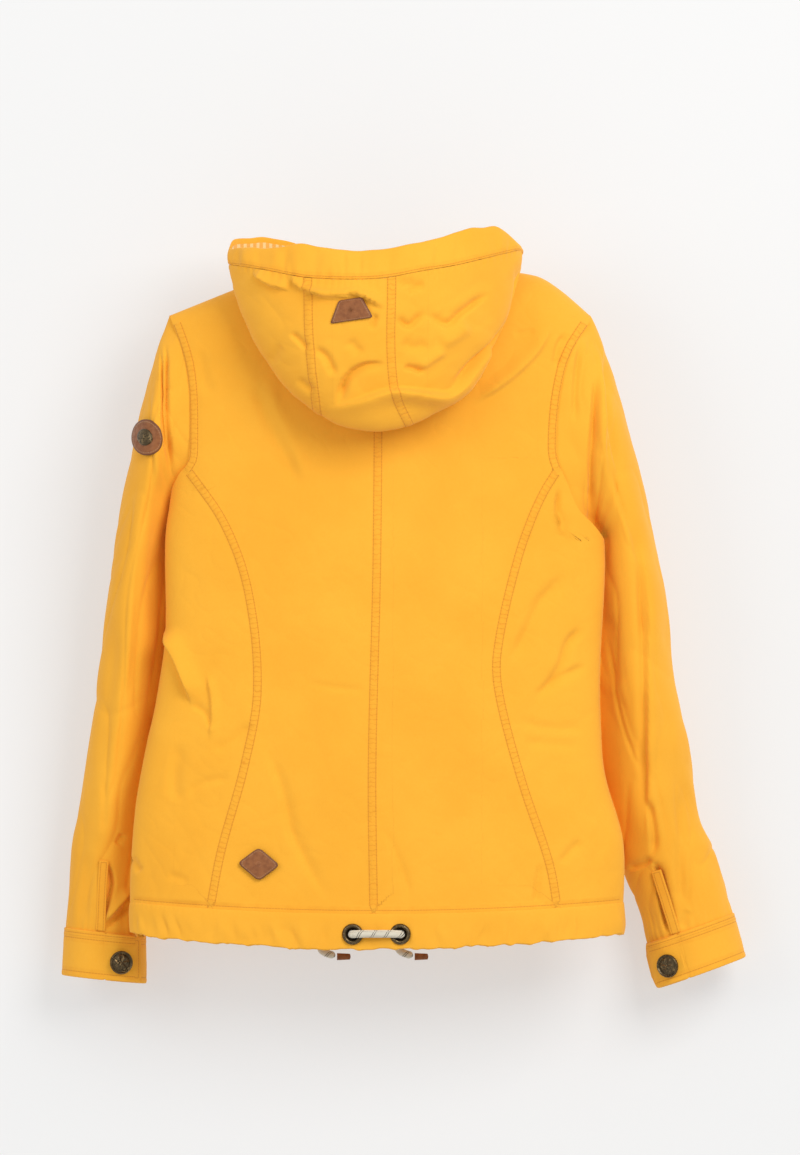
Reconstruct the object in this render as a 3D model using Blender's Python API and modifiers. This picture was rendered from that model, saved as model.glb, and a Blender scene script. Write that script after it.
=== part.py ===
"""A hooded cotton jacket hanging from a hanger at its neck, seen as its real sewn pieces.

+X is the wearer's right, +Y the wearer's front and +Z up. The origin is where the hanger's neck
stands in the jacket's collar. Every cloth piece is a sheet laid on a few smooth surfaces: the
body, the two sleeves with their cuffs, the collar and the hanging hood.
"""

import math

import bmesh
import bpy
from mathutils import Vector

# ---- driving dimensions, in metres ------------------------------------------------------------
CLOTH = 0.0015  # one made-up layer of shell and facing
SEAM_GAP = 0.0008  # clearance between pieces that are sewn edge to edge
CURVED_SEAM_GAP = 0.0015  # the same, on each side of a seam that curves
SKIN_GAP = 0.0004  # clearance under a piece that lies on another
LEFT, RIGHT = -1, 1
BACK, FRONT = -1, 1

# The body's side edges: (height, x).
LEFT_EDGE = [(-0.650, -0.231), (-0.611, -0.2356), (-0.525, -0.231), (-0.4645, -0.221),
             (-0.419, -0.211), (-0.3515, -0.202), (-0.264, -0.202), (-0.207, -0.196), (-0.04, -0.204)]
RIGHT_EDGE = [(-0.650, 0.230), (-0.611, 0.233), (-0.550, 0.233), (-0.4855, 0.2157), (-0.443, 0.212),
              (-0.388, 0.211), (-0.269, 0.2157), (-0.202, 0.205), (-0.04, 0.214)]
BACK_DEPTH = [(-0.65, 0.055), (-0.3, 0.052), (-0.1, 0.050), (-0.02, 0.046)]
FRONT_DEPTH = 0.045
EDGE_BLUNTNESS = 0.7
SHOULDER_ROUNDING = 0.060
# The shoulder lines: (distance from the middle, height).
LEFT_SHOULDER = [(0.085, -0.006), (0.136, -0.027), (0.1995, -0.0565)]
RIGHT_SHOULDER = [(0.085, -0.006), (0.149, -0.013), (0.173, -0.0266), (0.208, -0.057)]
NECK_HALF_WIDTH = 0.085
NECK_BACK_DEPTH = 0.040
NECK_SIDE_Z = -0.006
NECK_BACK_DROP = 0.010
NECK_FRONT_DROP = 0.075
COLLAR_BACK_HEIGHT = 0.014
COLLAR_FRONT_HEIGHT = 0.038
COLLAR_LIFT = 0.0030
SHOULDER_GAP = 0.0028
ARMPIT_Z = -0.2035
UNDERARM_Z = -0.222  # the side panels' upper edge
# Seams of the back: (height, x).
LEFT_ARMHOLE = [(-0.2035, -0.190), (-0.194, -0.1805), (-0.158, -0.1786), (-0.121, -0.1796),
                (-0.088, -0.185), (-0.0565, -0.1995)]
RIGHT_ARMHOLE = [(-0.2035, 0.186), (-0.190, 0.1690), (-0.1406, 0.171), (-0.1026, 0.1777),
                 (-0.079, 0.187), (-0.057, 0.2014)]
LEFT_PRINCESS = [(-0.62, -0.160), (-0.557, -0.148), (-0.477, -0.126), (-0.405, -0.114),
                 (-0.309, -0.1235), (-0.246, -0.147), (-0.198, -0.1805)]
RIGHT_PRINCESS = [(-0.62, 0.171), (-0.571, 0.1625), (-0.491, 0.136), (-0.411, 0.115), (-0.371, 0.113),
                  (-0.284, 0.132), (-0.229, 0.152), (-0.198, 0.170)]
CENTRE_SEAM = [(-0.62, -0.004), (-0.48, -0.0055), (-0.284, -0.001), (-0.01, 0.001)]
HEM_TOP_Z, HEM_TOP_RISE = -0.6175, 0.010
HEM_BOTTOM_Z, HEM_BOTTOM_RISE = -0.651, 0.014
HEM_HALF_WIDTH = 0.235
HEM_CHANNEL = 0.0115  # how far the hem's inner layer lies inside the body's surface

CORD = 0.0075
EYELET_Z = -0.6370
BACK_EYELETS_X = (-0.0238, 0.0209)
FRONT_EYELETS_X = (-0.056, 0.0178)
EYELET_RADIUS = 0.010
EYELET_BARREL = 0.0068
EYELET_BORE = 0.0060

ZIP_TOP_Z, ZIP_BOTTOM_Z = -0.050, -0.600
TAPE_TOP_Z = -0.102  # the tapes' sewn-in part starts under the collar
ZIP_EDGE = 0.0065  # half the width that the front panels leave for the zip
ZIP_PLANE_Y = FRONT_DEPTH - 0.0023
CHAIN_INNER, CHAIN_OUTER, CHAIN_THICK = 0.0012, 0.0038, 0.0024
TAPE_OUTER, TAPE_THICK = 0.017, 0.0008
SLIDER_HALF_WIDTH, SLIDER_HEIGHT, SLIDER_PLATE, SLIDER_POST = 0.0055, 0.014, 0.0014, 0.0008
SLIDER_Z = -0.064
PULL_AXIS_OUT = 0.0042  # the pull's pin in front of the slider's front plate
PULL_LENGTH = 0.030

# Sleeves, from the armhole to the cuff's seam. Each row: outer edge (x, z), inner edge (x, z),
# half depth, and how far forward the sleeve's middle lies.
LEFT_SLEEVE = [
    ((-0.1995, -0.057), (-0.190, -0.2035), 0.034, 0.002),
    ((-0.2125, -0.085), (-0.2005, -0.212), 0.040, 0.006),
    ((-0.2225, -0.120), (-0.2035, -0.224), 0.044, 0.012),
    ((-0.2320, -0.165), (-0.2045, -0.243), 0.046, 0.018),
    ((-0.2450, -0.229), (-0.2060, -0.275), 0.047, 0.025),
    ((-0.2580, -0.321), (-0.2070, -0.345), 0.046, 0.032),
    ((-0.2690, -0.397), (-0.2085, -0.410), 0.043, 0.038),
    ((-0.2790, -0.473), (-0.2150, -0.480), 0.040, 0.045),
    ((-0.2890, -0.530), (-0.2185, -0.535), 0.037, 0.052),
    ((-0.2945, -0.570), (-0.2205, -0.575), 0.034, 0.057),
    ((-0.2980, -0.634), (-0.2230, -0.642), 0.031, 0.060),
]
RIGHT_SLEEVE = [
    ((0.2080, -0.057), (0.1950, -0.2035), 0.034, 0.002),
    ((0.2160, -0.084), (0.2085, -0.212), 0.040, 0.006),
    ((0.2270, -0.120), (0.2135, -0.224), 0.044, 0.012),
    ((0.2400, -0.165), (0.2175, -0.243), 0.046, 0.018),
    ((0.2570, -0.229), (0.2195, -0.275), 0.047, 0.025),
    ((0.2765, -0.330), (0.2150, -0.345), 0.046, 0.032),
    ((0.2835, -0.397), (0.2140, -0.410), 0.043, 0.038),
    ((0.2980, -0.467), (0.2175, -0.485), 0.040, 0.045),
    ((0.3080, -0.528), (0.2280, -0.545), 0.037, 0.052),
    ((0.3230, -0.565), (0.2380, -0.590), 0.035, 0.057),
    ((0.3385, -0.6205), (0.2570, -0.649), 0.032, 0.060),
]
ELBOW_ROW = 5.4
# Cuffs: the bottom's outer and inner edge (x, z).
LEFT_CUFF = ((-0.3005, -0.678), (-0.2225, -0.686))
RIGHT_CUFF = ((0.3495, -0.661), (0.2680, -0.6905))
CUFF_PROUD = 0.0014
# Tabs: where round the cuff each starts, carries its snap and ends, in degrees (-90 is the back).
LEFT_TAB = (-90, -112, -143)
RIGHT_TAB = (-106, -128, -166)
TAB_RAISE = 0.0026
TAB_THICK = 0.0020
SNAP_RADIUS = 0.0112
SLIT_LENGTH_ROWS = 1.05
SLIT_WIDTH = 0.004

# The hood: a pouch that hangs behind the neck, open at the top.
HOOD_MIDDLE_X = -0.003
HOOD_HALF_WIDTH = 0.1385
HOOD_DROP = 0.1625
HOOD_SEAT_Y = -0.059  # its inner wall, at the middle
HOOD_SEAT_CURVE = 0.020
HOOD_HALF_DEPTH = 0.033
HOOD_LEFT_SEAM = [(-0.165, -0.056), (-0.08, -0.064), (-0.01, -0.066)]
HOOD_RIGHT_SEAM = [(-0.165, 0.034), (-0.12, 0.015), (-0.01, 0.013)]
CASING_SEAM = [(-0.1415, -0.004), (-0.104, -0.0105), (-0.065, -0.018), (0.0, -0.019), (0.04, -0.012),
               (0.075, -0.0057), (0.1355, 0.0100)]
RIM = [(-0.1415, 0.018), (-0.085, 0.021), (-0.055, 0.0125), (0.0, 0.0085), (0.06, 0.021),
       (0.110, 0.032), (0.1355, 0.022)]
HOOD_NECK_Z = -0.004

HOOD_PATCH = (-0.0238, -0.0455)
HEM_PATCH = (-0.114, -0.571)
ARM_PATCH = (-0.2180, -0.167)


# ---- curves and surfaces ----------------------------------------------------------------------
def along(points, t):
    """The value at t on a smooth curve through (t, value) points; it is held past both ends."""
    points = sorted(points)
    if t <= points[0][0]:
        return points[0][1]
    if t >= points[-1][0]:
        return points[-1][1]
    i = max(k for k in range(len(points) - 1) if points[k][0] <= t)
    (t0, a), (t1, b) = points[i], points[i + 1]
    before = points[max(i - 1, 0)]
    after = points[min(i + 2, len(points) - 1)]
    span = t1 - t0
    slope0 = (b - before[1]) / (t1 - before[0]) * span
    slope1 = (after[1] - a) / (after[0] - t0) * span
    k = (t - t0) / span
    return (
        a * (2 * k**3 - 3 * k**2 + 1) + slope0 * (k**3 - 2 * k**2 + k)
        + b * (3 * k**2 - 2 * k**3) + slope1 * (k**3 - k**2)
    )


def mix(a, b, k):
    return a + (b - a) * k


def smooth_step(k):
    k = min(max(k, 0.0), 1.0)
    return k * k * (3 - 2 * k)


def body_ring(angle, z, inset=0.0):
    """A point of the body's outline at one height: 0 degrees is the back's middle, 90 the right edge."""
    left, right = along(LEFT_EDGE, z), along(RIGHT_EDGE, z)
    half = (right - left) / 2 - inset
    across, through = math.sin(math.radians(angle)), math.cos(math.radians(angle))
    depth = (along(BACK_DEPTH, z) if through > 0 else FRONT_DEPTH) - inset
    y = -math.copysign(depth * abs(through) ** EDGE_BLUNTNESS, through)
    return Vector(((left + right) / 2 + half * across, y, z))


def neck_z(side, x):
    share = max(0.0, 1 - (x / NECK_HALF_WIDTH) ** 2)
    if side == BACK:
        return NECK_SIDE_Z - NECK_BACK_DROP * share
    return NECK_SIDE_Z - NECK_FRONT_DROP * share**0.8


def body_top(side, x):
    """The height of the neckline or the shoulder at x."""
    if abs(x) < NECK_HALF_WIDTH:
        return neck_z(side, x)
    return along(LEFT_SHOULDER if x < 0 else RIGHT_SHOULDER, abs(x))


def body_y(side, x, z):
    left, right = along(LEFT_EDGE, z), along(RIGHT_EDGE, z)
    across = (2 * x - left - right) / (right - left)
    through = math.sqrt(max(1 - across * across, 0.0))
    depth = along(BACK_DEPTH, z) if side == BACK else FRONT_DEPTH
    neck = NECK_BACK_DEPTH if side == BACK else FRONT_DEPTH
    top = side * max(neck * math.sqrt(max(0.0, 1 - (x / NECK_HALF_WIDTH) ** 2)), SHOULDER_GAP)
    rise = min(max((body_top(side, x) - z) / SHOULDER_ROUNDING, 0.0), 1.0)
    rounding = math.sqrt(1 - (1 - rise) ** 2)
    return top + (side * depth * through**EDGE_BLUNTNESS - top) * rounding


def hem_top(x):
    return HEM_TOP_Z + HEM_TOP_RISE * (x / HEM_HALF_WIDTH) ** 2


def hem_bottom(x):
    return HEM_BOTTOM_Z + HEM_BOTTOM_RISE * (x / HEM_HALF_WIDTH) ** 2


def edge_angle(x, z):
    left, right = along(LEFT_EDGE, z), along(RIGHT_EDGE, z)
    across = (2 * x - left - right) / (right - left)
    return math.asin(min(max(across, -0.9999955), 0.9999955))


def body_panel(side, start, end, top=None):
    """The surface of a panel between two seams, each a function that gives x at a height."""
    def surface(u, v):
        x = start(-0.3)
        for _ in range(6):
            high = body_top(side, x) if top is None else top
            z = mix(high, hem_top(x), v)
            angle = mix(edge_angle(start(z), z), edge_angle(end(z), z), u)
            left, right = along(LEFT_EDGE, z), along(RIGHT_EDGE, z)
            x = (left + right) / 2 + (right - left) / 2 * math.sin(angle)
        return Vector((x, body_y(side, x, z), z))
    return surface


def armhole_x(side, z):
    return along(LEFT_ARMHOLE if side == LEFT else RIGHT_ARMHOLE, z)


def armhole_ring(side, angle):
    """The sleeve's sewn end, just outside the armhole. 0 degrees is the shoulder, -90 the back."""
    top = along(LEFT_SLEEVE_Z if side == LEFT else RIGHT_SLEEVE_Z, 0.0)
    z = mix(ARMPIT_Z, top, (1 + math.cos(math.radians(angle))) / 2)
    x = armhole_x(side, z)
    facing = BACK if math.sin(math.radians(angle)) < 0 else FRONT
    reach = min(1.0, 1.6 * abs(math.sin(math.radians(angle))))
    return Vector((x + side * 0.0025, body_y(facing, x, z) * reach, z))


def table_column(rows, pick):
    return [(float(i), pick(row)) for i, row in enumerate(rows)]


LEFT_SLEEVE_Z = table_column(LEFT_SLEEVE, lambda row: row[0][1])
RIGHT_SLEEVE_Z = table_column(RIGHT_SLEEVE, lambda row: row[0][1])


def sleeve_oval(side, row, angle):
    rows = LEFT_SLEEVE if side == LEFT else RIGHT_SLEEVE
    outer = [along(table_column(rows, lambda r: r[0][k]), row) for k in (0, 1)]
    inner = [along(table_column(rows, lambda r: r[1][k]), row) for k in (0, 1)]
    depth = along(table_column(rows, lambda r: r[2]), row)
    forward = along(table_column(rows, lambda r: r[3]), row)
    return oval(outer, inner, depth, forward, angle)


def oval(outer, inner, depth, forward, angle):
    """A point of a sleeve's cross-section: 0 degrees is its outer edge, -90 its back."""
    c, s = math.cos(math.radians(angle)), math.sin(math.radians(angle))
    return Vector((
        mix(inner[0], outer[0], (1 + c) / 2), forward + depth * s, mix(inner[1], outer[1], (1 + c) / 2)
    ))


def sleeve(side):
    """surface(row, angle) of a whole sleeve, row 0 at the armhole and 10 at the cuff."""
    def surface(row, angle):
        point = sleeve_oval(side, row, angle)
        if row < 2:
            point = armhole_ring(side, angle).lerp(point, smooth_step(row / 2))
        return point
    return surface


def cuff(side):
    """surface(v, angle) of a cuff, v 0 at its seam and 1 at its bottom edge."""
    rows, bottom = (LEFT_SLEEVE, LEFT_CUFF) if side == LEFT else (RIGHT_SLEEVE, RIGHT_CUFF)
    outer, inner, depth, forward = rows[-1]

    def surface(v, angle):
        start = mix(0.02, 1.0, v)
        high = [mix(a, b, start) for a, b in zip(outer, bottom[0])]
        low = [mix(a, b, start) for a, b in zip(inner, bottom[1])]
        return oval(high, low, depth + 0.001, forward, angle)
    return surface


def hood_share(x):
    return min(max((x - HOOD_MIDDLE_X) / HOOD_HALF_WIDTH, -0.998), 0.998)


def hood(x, s, inset=0.0):
    """The pouch: s 0 at the casing's seam, 0.5 at the bottom and 1 at the neck, on the inside."""
    share = hood_share(x)
    s = min(max(s, 0.0), 1.0)
    half = HOOD_HALF_DEPTH * math.sqrt(1 - share * share) + 0.004 - inset
    drop = max(HOOD_DROP * (1 - share * share) ** 0.63 - inset, 0.002)
    seat = HOOD_SEAT_Y + HOOD_SEAT_CURVE * share * share - inset
    top = mix(along(CASING_SEAM, x), HOOD_NECK_Z, smooth_step(s))
    fall = abs(math.sin(math.pi * s)) ** 0.75
    y = seat - half - half * math.cos(math.pi * s)
    return Vector((x, y, mix(top, min(-drop, top - 0.004), fall)))


def hood_column(share):
    return HOOD_MIDDLE_X + HOOD_HALF_WIDTH * math.sin(math.radians(share * 86))


def casing(share, v):
    """The rim's casing, from its seam (v 0) up to the rim (v 1), rolled slightly inwards."""
    x = hood_column(share)
    low = hood(x, 0.0)
    rim = along(RIM, x)
    return Vector((x, low.y + 0.012 * v * v, mix(low.z + SEAM_GAP, rim, v)))


def collar(angle, v):
    """The stand collar: 0 degrees is the back's middle and 180 the front's."""
    across, through = math.sin(math.radians(angle)), math.cos(math.radians(angle))
    x = NECK_HALF_WIDTH * across
    side = BACK if through > 0 else FRONT
    depth = NECK_BACK_DEPTH if side == BACK else FRONT_DEPTH
    height = mix(COLLAR_BACK_HEIGHT, COLLAR_FRONT_HEIGHT, smooth_step((1 - through) / 2))
    return Vector((x, -through * depth, neck_z(side, x) + COLLAR_LIFT + height * v))


# ---- making objects ---------------------------------------------------------------------------
def clear_scene():
    for obj in list(bpy.data.objects):
        bpy.data.objects.remove(obj, do_unlink=True)


def material(name, colour, roughness, metallic=0.0):
    made = bpy.data.materials.get(name) or bpy.data.materials.new(name)
    made.use_nodes = True
    shader = made.node_tree.nodes["Principled BSDF"]
    shader.inputs["Base Color"].default_value = (*colour, 1)
    shader.inputs["Roughness"].default_value = roughness
    shader.inputs["Metallic"].default_value = metallic
    return made


def cotton():
    return material("yellow_cotton", (0.98, 0.46, 0.045), 0.85)


def leather():
    return material("brown_leather", (0.32, 0.11, 0.04), 0.6)


def brass():
    return material("antique_brass", (0.22, 0.16, 0.08), 0.35, 1.0)


def cord_cotton():
    return material("cream_cord", (0.85, 0.78, 0.6), 0.9)


def lining():
    return material("striped_lining", (0.95, 0.75, 0.35), 0.9)


def nylon():
    return material("zip_nylon", (0.75, 0.36, 0.05), 0.6)


def place(name, mesh, finish, collection):
    obj = bpy.data.objects.new(name, mesh)
    if not mesh.materials:
        mesh.materials.append(finish)
    collection.objects.link(obj)
    return obj


def add_solidify(obj, thickness):
    solid = obj.modifiers.new("thickness", "SOLIDIFY")
    solid.thickness = thickness
    solid.offset = -1


def open_sheet(name, surface, us, vs, inside, finish, collection, raise_by=0.0, thickness=CLOTH,
               closed=False):
    """A sheet of cloth: a grid laid on surface(u, v), facing away from the point inside, given
    its thickness on the inner side. closed joins its last column of v to the first."""
    bm = bmesh.new()
    grid = [[bm.verts.new(surface(u, v)) for v in vs] for u in us]
    columns = len(vs) if closed else len(vs) - 1
    for i in range(len(us) - 1):
        for j in range(columns):
            k = (j + 1) % len(vs)
            bm.faces.new((grid[i][j], grid[i][k], grid[i + 1][k], grid[i + 1][j]))
    bm.normal_update()
    outward = sum((f.calc_center_median() - Vector(inside)).dot(f.normal) * f.calc_area()
                  for f in bm.faces)
    if outward < 0:
        bmesh.ops.reverse_faces(bm, faces=bm.faces)
    bm.normal_update()
    moved = [(v, v.co + v.normal * raise_by) for v in bm.verts]
    for vertex, target in moved:
        vertex.co = target
    mesh = bpy.data.meshes.new(name)
    bm.to_mesh(mesh)
    bm.free()
    mesh.shade_smooth()
    obj = place(name, mesh, finish, collection)
    add_solidify(obj, thickness)
    return obj


def spread(a, b, count):
    return [mix(a, b, i / count) for i in range(count + 1)]


def round_angles(count):
    return [360 * i / count - 180 for i in range(count)]


def solve(surface, x, z, row, angle):
    """The (row, angle) at which a sleeve passes through x and z, by Newton's steps from a guess."""
    by_step, turn_step = 0.01, 0.5
    for _ in range(12):
        here = surface(row, angle)
        by_row = (surface(row + by_step, angle) - here) / by_step
        by_turn = (surface(row, angle + turn_step) - here) / turn_step
        det = by_row.x * by_turn.z - by_turn.x * by_row.z
        dx, dz = x - here.x, z - here.z
        row += (dx * by_turn.z - by_turn.x * dz) / det
        angle += (by_row.x * dz - dx * by_row.z) / det
    return row, angle


def laid_plate(name, point_at, outline, facing, finish, collection, gap, thickness):
    """A thin plate of the given outline, a list of (x, z), laid on a surface point_at(x, z)."""
    centre = Vector((sum(p[0] for p in outline), sum(p[1] for p in outline))) / len(outline)
    bm = bmesh.new()
    middle = bm.verts.new(point_at(*centre))
    rings = []
    for share in (0.5, 1.0):
        spots = [centre.lerp(Vector(p), share) for p in outline]
        rings.append([bm.verts.new(point_at(*spot)) for spot in spots])
    count = len(outline)
    for j in range(count):
        k = (j + 1) % count
        bm.faces.new((middle, rings[0][j], rings[0][k]))
        bm.faces.new((rings[0][j], rings[1][j], rings[1][k], rings[0][k]))
    bm.normal_update()
    if sum(f.normal.y for f in bm.faces) * facing < 0:
        bmesh.ops.reverse_faces(bm, faces=bm.faces)
    bm.normal_update()
    moved = [(v, v.co + v.normal * (gap + thickness)) for v in bm.verts]
    for vertex, target in moved:
        vertex.co = target
    mesh = bpy.data.meshes.new(name)
    bm.to_mesh(mesh)
    bm.free()
    obj = place(name, mesh, finish, collection)
    add_solidify(obj, thickness)
    return obj


def polygon(corners, per_side):
    """The corners' outline with per_side points on each side."""
    points = []
    for a, b in zip(corners, corners[1:] + corners[:1]):
        points += [(mix(a[0], b[0], i / per_side), mix(a[1], b[1], i / per_side))
                   for i in range(per_side)]
    return points


def turned(name, profile, spot, direction, finish, collection, steps=14):
    """A turned piece: a profile of (radius, height), its axis through spot along direction."""
    mesh = bpy.data.meshes.new(name)
    ring = profile[0][0] > 0
    edges = [(i, i + 1) for i in range(len(profile) - 1)]
    if ring:
        edges.append((len(profile) - 1, 0))
    mesh.from_pydata([(r, 0, h) for r, h in profile], edges, [])
    obj = place(name, mesh, finish, collection)
    screw = obj.modifiers.new("turn", "SCREW")
    screw.steps = screw.render_steps = steps
    screw.use_merge_vertices = True
    screw.merge_threshold = 1e-5
    obj.rotation_euler = Vector(direction).to_track_quat("Z", "Y").to_euler()
    obj.location = spot
    return obj


def box(name, low, high, finish, collection):
    bm = bmesh.new()
    bmesh.ops.create_cube(bm, size=1.0)
    size = Vector(high) - Vector(low)
    for vertex in bm.verts:
        vertex.co = Vector(low) + Vector((vertex.co[k] + 0.5) * size[k] for k in range(3))
    mesh = bpy.data.meshes.new(name)
    bm.to_mesh(mesh)
    bm.free()
    return place(name, mesh, finish, collection)


def smooth_route(points, step):
    """Points a step apart along a smooth curve through the route's own points."""
    route = [Vector(p) for p in points]
    fine = []
    for i in range(len(route) - 1):
        before = route[max(i - 1, 0)]
        after = route[min(i + 2, len(route) - 1)]
        a, b = route[i], route[i + 1]
        leave, arrive = (b - before) / 2, (after - a) / 2
        for j in range(20):
            k = j / 20
            fine.append(
                a * (2 * k**3 - 3 * k**2 + 1) + leave * (k**3 - 2 * k**2 + k)
                + b * (3 * k**2 - 2 * k**3) + arrive * (k**3 - k**2)
            )
    fine.append(route[-1])
    kept, walked = [fine[0]], 0.0
    for a, b in zip(fine, fine[1:]):
        walked += (b - a).length
        if walked >= step:
            kept.append(b)
            walked = 0.0
    kept[-1] = fine[-1]
    return kept


def tube(name, points, diameter, finish, collection):
    curve = bpy.data.curves.new(name, "CURVE")
    curve.dimensions = "3D"
    curve.bevel_depth = diameter / 2
    curve.bevel_resolution = 2
    curve.use_fill_caps = True
    spline = curve.splines.new("POLY")
    spline.points.add(len(points) - 1)
    for target, point in zip(spline.points, points):
        target.co = (*point, 1)
    curve.materials.append(finish)
    obj = bpy.data.objects.new(name, curve)
    collection.objects.link(obj)
    return obj


def boolean(obj, other, operation):
    other.hide_render = True
    other.display_type = "WIRE"
    modifier = obj.modifiers.new(operation.lower(), "BOOLEAN")
    modifier.object = other
    modifier.operation = operation


# ---- the sub-parts ----------------------------------------------------------------------------
def seam(points, offset=0.0):
    return lambda z: along(points, z) + offset


def panel_edge(side):
    """The outer seam of a main panel: the armhole down to the princess seam's start, then that."""
    armhole, princess = ((LEFT_ARMHOLE, LEFT_PRINCESS) if side == LEFT
                         else (RIGHT_ARMHOLE, RIGHT_PRINCESS))
    turn = princess[-1][0]
    return lambda z: along(armhole, z) if z > turn else along(princess, z) - side * CURVED_SEAM_GAP


def body_panels(parts):
    """Four main panels between the middle, the armholes and the princess seams, and four side ones."""
    inside = (0, 0, -0.3)
    for side, word in ((LEFT, "left"), (RIGHT, "right")):
        middles = {BACK: seam(CENTRE_SEAM, side * SEAM_GAP / 2),
                   FRONT: lambda z, s=side: s * ZIP_EDGE}
        princess = seam(LEFT_PRINCESS if side == LEFT else RIGHT_PRINCESS, side * CURVED_SEAM_GAP)
        edge = seam(LEFT_EDGE if side == LEFT else RIGHT_EDGE)
        for facing, view, columns in ((BACK, "back", 6), (FRONT, "front", 8)):
            surface = body_panel(facing, middles[facing], panel_edge(side))
            open_sheet(f"{view}_panel_{word}", surface, spread(0, 1, columns), spread(0, 1, 12),
                       inside, cotton(), parts)
            surface = body_panel(facing, princess, edge, UNDERARM_Z)
            open_sheet(f"side_{view}_panel_{word}", surface, spread(0, 1, 4), spread(0, 1, 9),
                       inside, cotton(), parts)


def neck(parts):
    reach = 180 - math.degrees(ZIP_EDGE / NECK_HALF_WIDTH)
    open_sheet("collar_stand", collar, spread(-reach, reach, 24), spread(0, 1, 1), (0, 0, -0.02),
               cotton(), parts)
    loop = [(x, -NECK_BACK_DEPTH + 0.0085, -0.010 - 0.018 * (1 - (x / 0.024) ** 2))
            for x in spread(-0.024, 0.024, 12)]
    tube("hang_loop", loop, 0.003, cotton(), parts)


def hem_surface(inset):
    def surface(angle, v):
        x = body_ring(angle, -0.63, inset).x
        return body_ring(angle, mix(hem_top(x) - SEAM_GAP, hem_bottom(x), v), inset)
    return surface


def hem(parts, cutters):
    reach = 180 - math.degrees(ZIP_EDGE / HEM_HALF_WIDTH)
    angles = spread(-reach, reach, 44)
    outer = open_sheet("hem_band_outer", hem_surface(-0.001), angles, spread(0, 1, 1),
                       (0, 0, -0.63), cotton(), parts)
    open_sheet("hem_band_inner", hem_surface(HEM_CHANNEL), angles, spread(0, 1, 1), (0, 0, -0.63),
               cotton(), parts, thickness=0.001)
    profile = [(EYELET_BORE, 0.0016), (0.0078, 0.0022), (0.0094, 0.0015), (EYELET_RADIUS, 0.0003),
               (EYELET_BARREL, 0.0003), (EYELET_BARREL, -0.0026), (EYELET_BORE, -0.0026)]
    spots = [("back_left", BACK, BACK_EYELETS_X[0]), ("back_right", BACK, BACK_EYELETS_X[1]),
             ("front_left", FRONT, FRONT_EYELETS_X[0]), ("front_right", FRONT, FRONT_EYELETS_X[1])]
    for word, side, x in spots:
        spot, direction = hem_spot(side, x)
        turned(f"hem_eyelet_{word}", profile, spot, direction, brass(), parts)
        hole = turned(f"cut_{word}", [(0, 0.006), (0.0072, 0.006), (0.0072, -0.006), (0, -0.006)],
                      spot, direction, brass(), cutters, 20)
        boolean(outer, hole, "DIFFERENCE")


def hem_angle(side, x):
    share = edge_angle(x, EYELET_Z)
    return math.degrees(share) if side == BACK else 180 - math.degrees(share)


def hem_spot(side, x):
    """The point of the hem band's outer face at x, and the way it faces."""
    angle = hem_angle(side, x)
    here = body_ring(angle, EYELET_Z, -0.001)
    beside = body_ring(angle + 0.5, EYELET_Z, -0.001)
    facing = (beside - here).cross(Vector((0, 0, 1))).normalized()
    return here, facing


def hem_cord(parts):
    """The drawcord in its channel, out across the back between two eyelets, and its two ends."""
    for index, word in enumerate(("left", "right")):
        eyelet, facing = hem_spot(FRONT, FRONT_EYELETS_X[index])
        knot = eyelet + Vector((0.0150, 0.0150, -0.0240))
        route = [eyelet + facing * 0.0005, eyelet + facing * 0.0108,
                 eyelet + Vector((0.0005, 0.0188, -0.0085)),
                 eyelet + Vector((0.0030, 0.0192, -0.0192)), knot]
        tube(f"hem_cord_end_{word}", smooth_route(route, 0.003), CORD, cord_cotton(), parts)
        tip = knot + Vector((0.0020, -0.0002, -0.0002))
        box(f"cord_tip_{word}", tip + Vector((0, -0.0022, -0.0040)), tip + Vector((0.013, 0.0022, 0.0030)),
            leather(), parts)
    runs = {}
    for index, side in enumerate((LEFT, RIGHT)):
        outside, facing = hem_spot(BACK, BACK_EYELETS_X[index])
        start = hem_angle(BACK, BACK_EYELETS_X[index]) + side * 3.2
        end = hem_angle(FRONT, FRONT_EYELETS_X[index])
        if side == LEFT:
            end -= 360
        middle = (HEM_CHANNEL + 0.0005) / 2
        channel = [body_ring(angle, EYELET_Z, middle) for angle in spread(start, end, 22)]
        through = [outside + facing * out for out in (-0.0058, -0.0025, 0.0010, 0.0040)]
        runs[side] = (channel, through)
    left_channel, left_through = runs[LEFT]
    right_channel, right_through = runs[RIGHT]
    bridge = [left_through[-1].lerp(right_through[-1], k) + Vector((0, -0.0035, 0.0005))
              for k in (0.2, 0.5, 0.8)]
    crossing = left_channel[1::-1] + left_through + bridge + right_through[::-1] + right_channel[:2]
    route = left_channel[:1:-1] + smooth_route(crossing, 0.004) + right_channel[2:]
    tube("hem_cord", route, CORD, cord_cotton(), parts)


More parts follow.
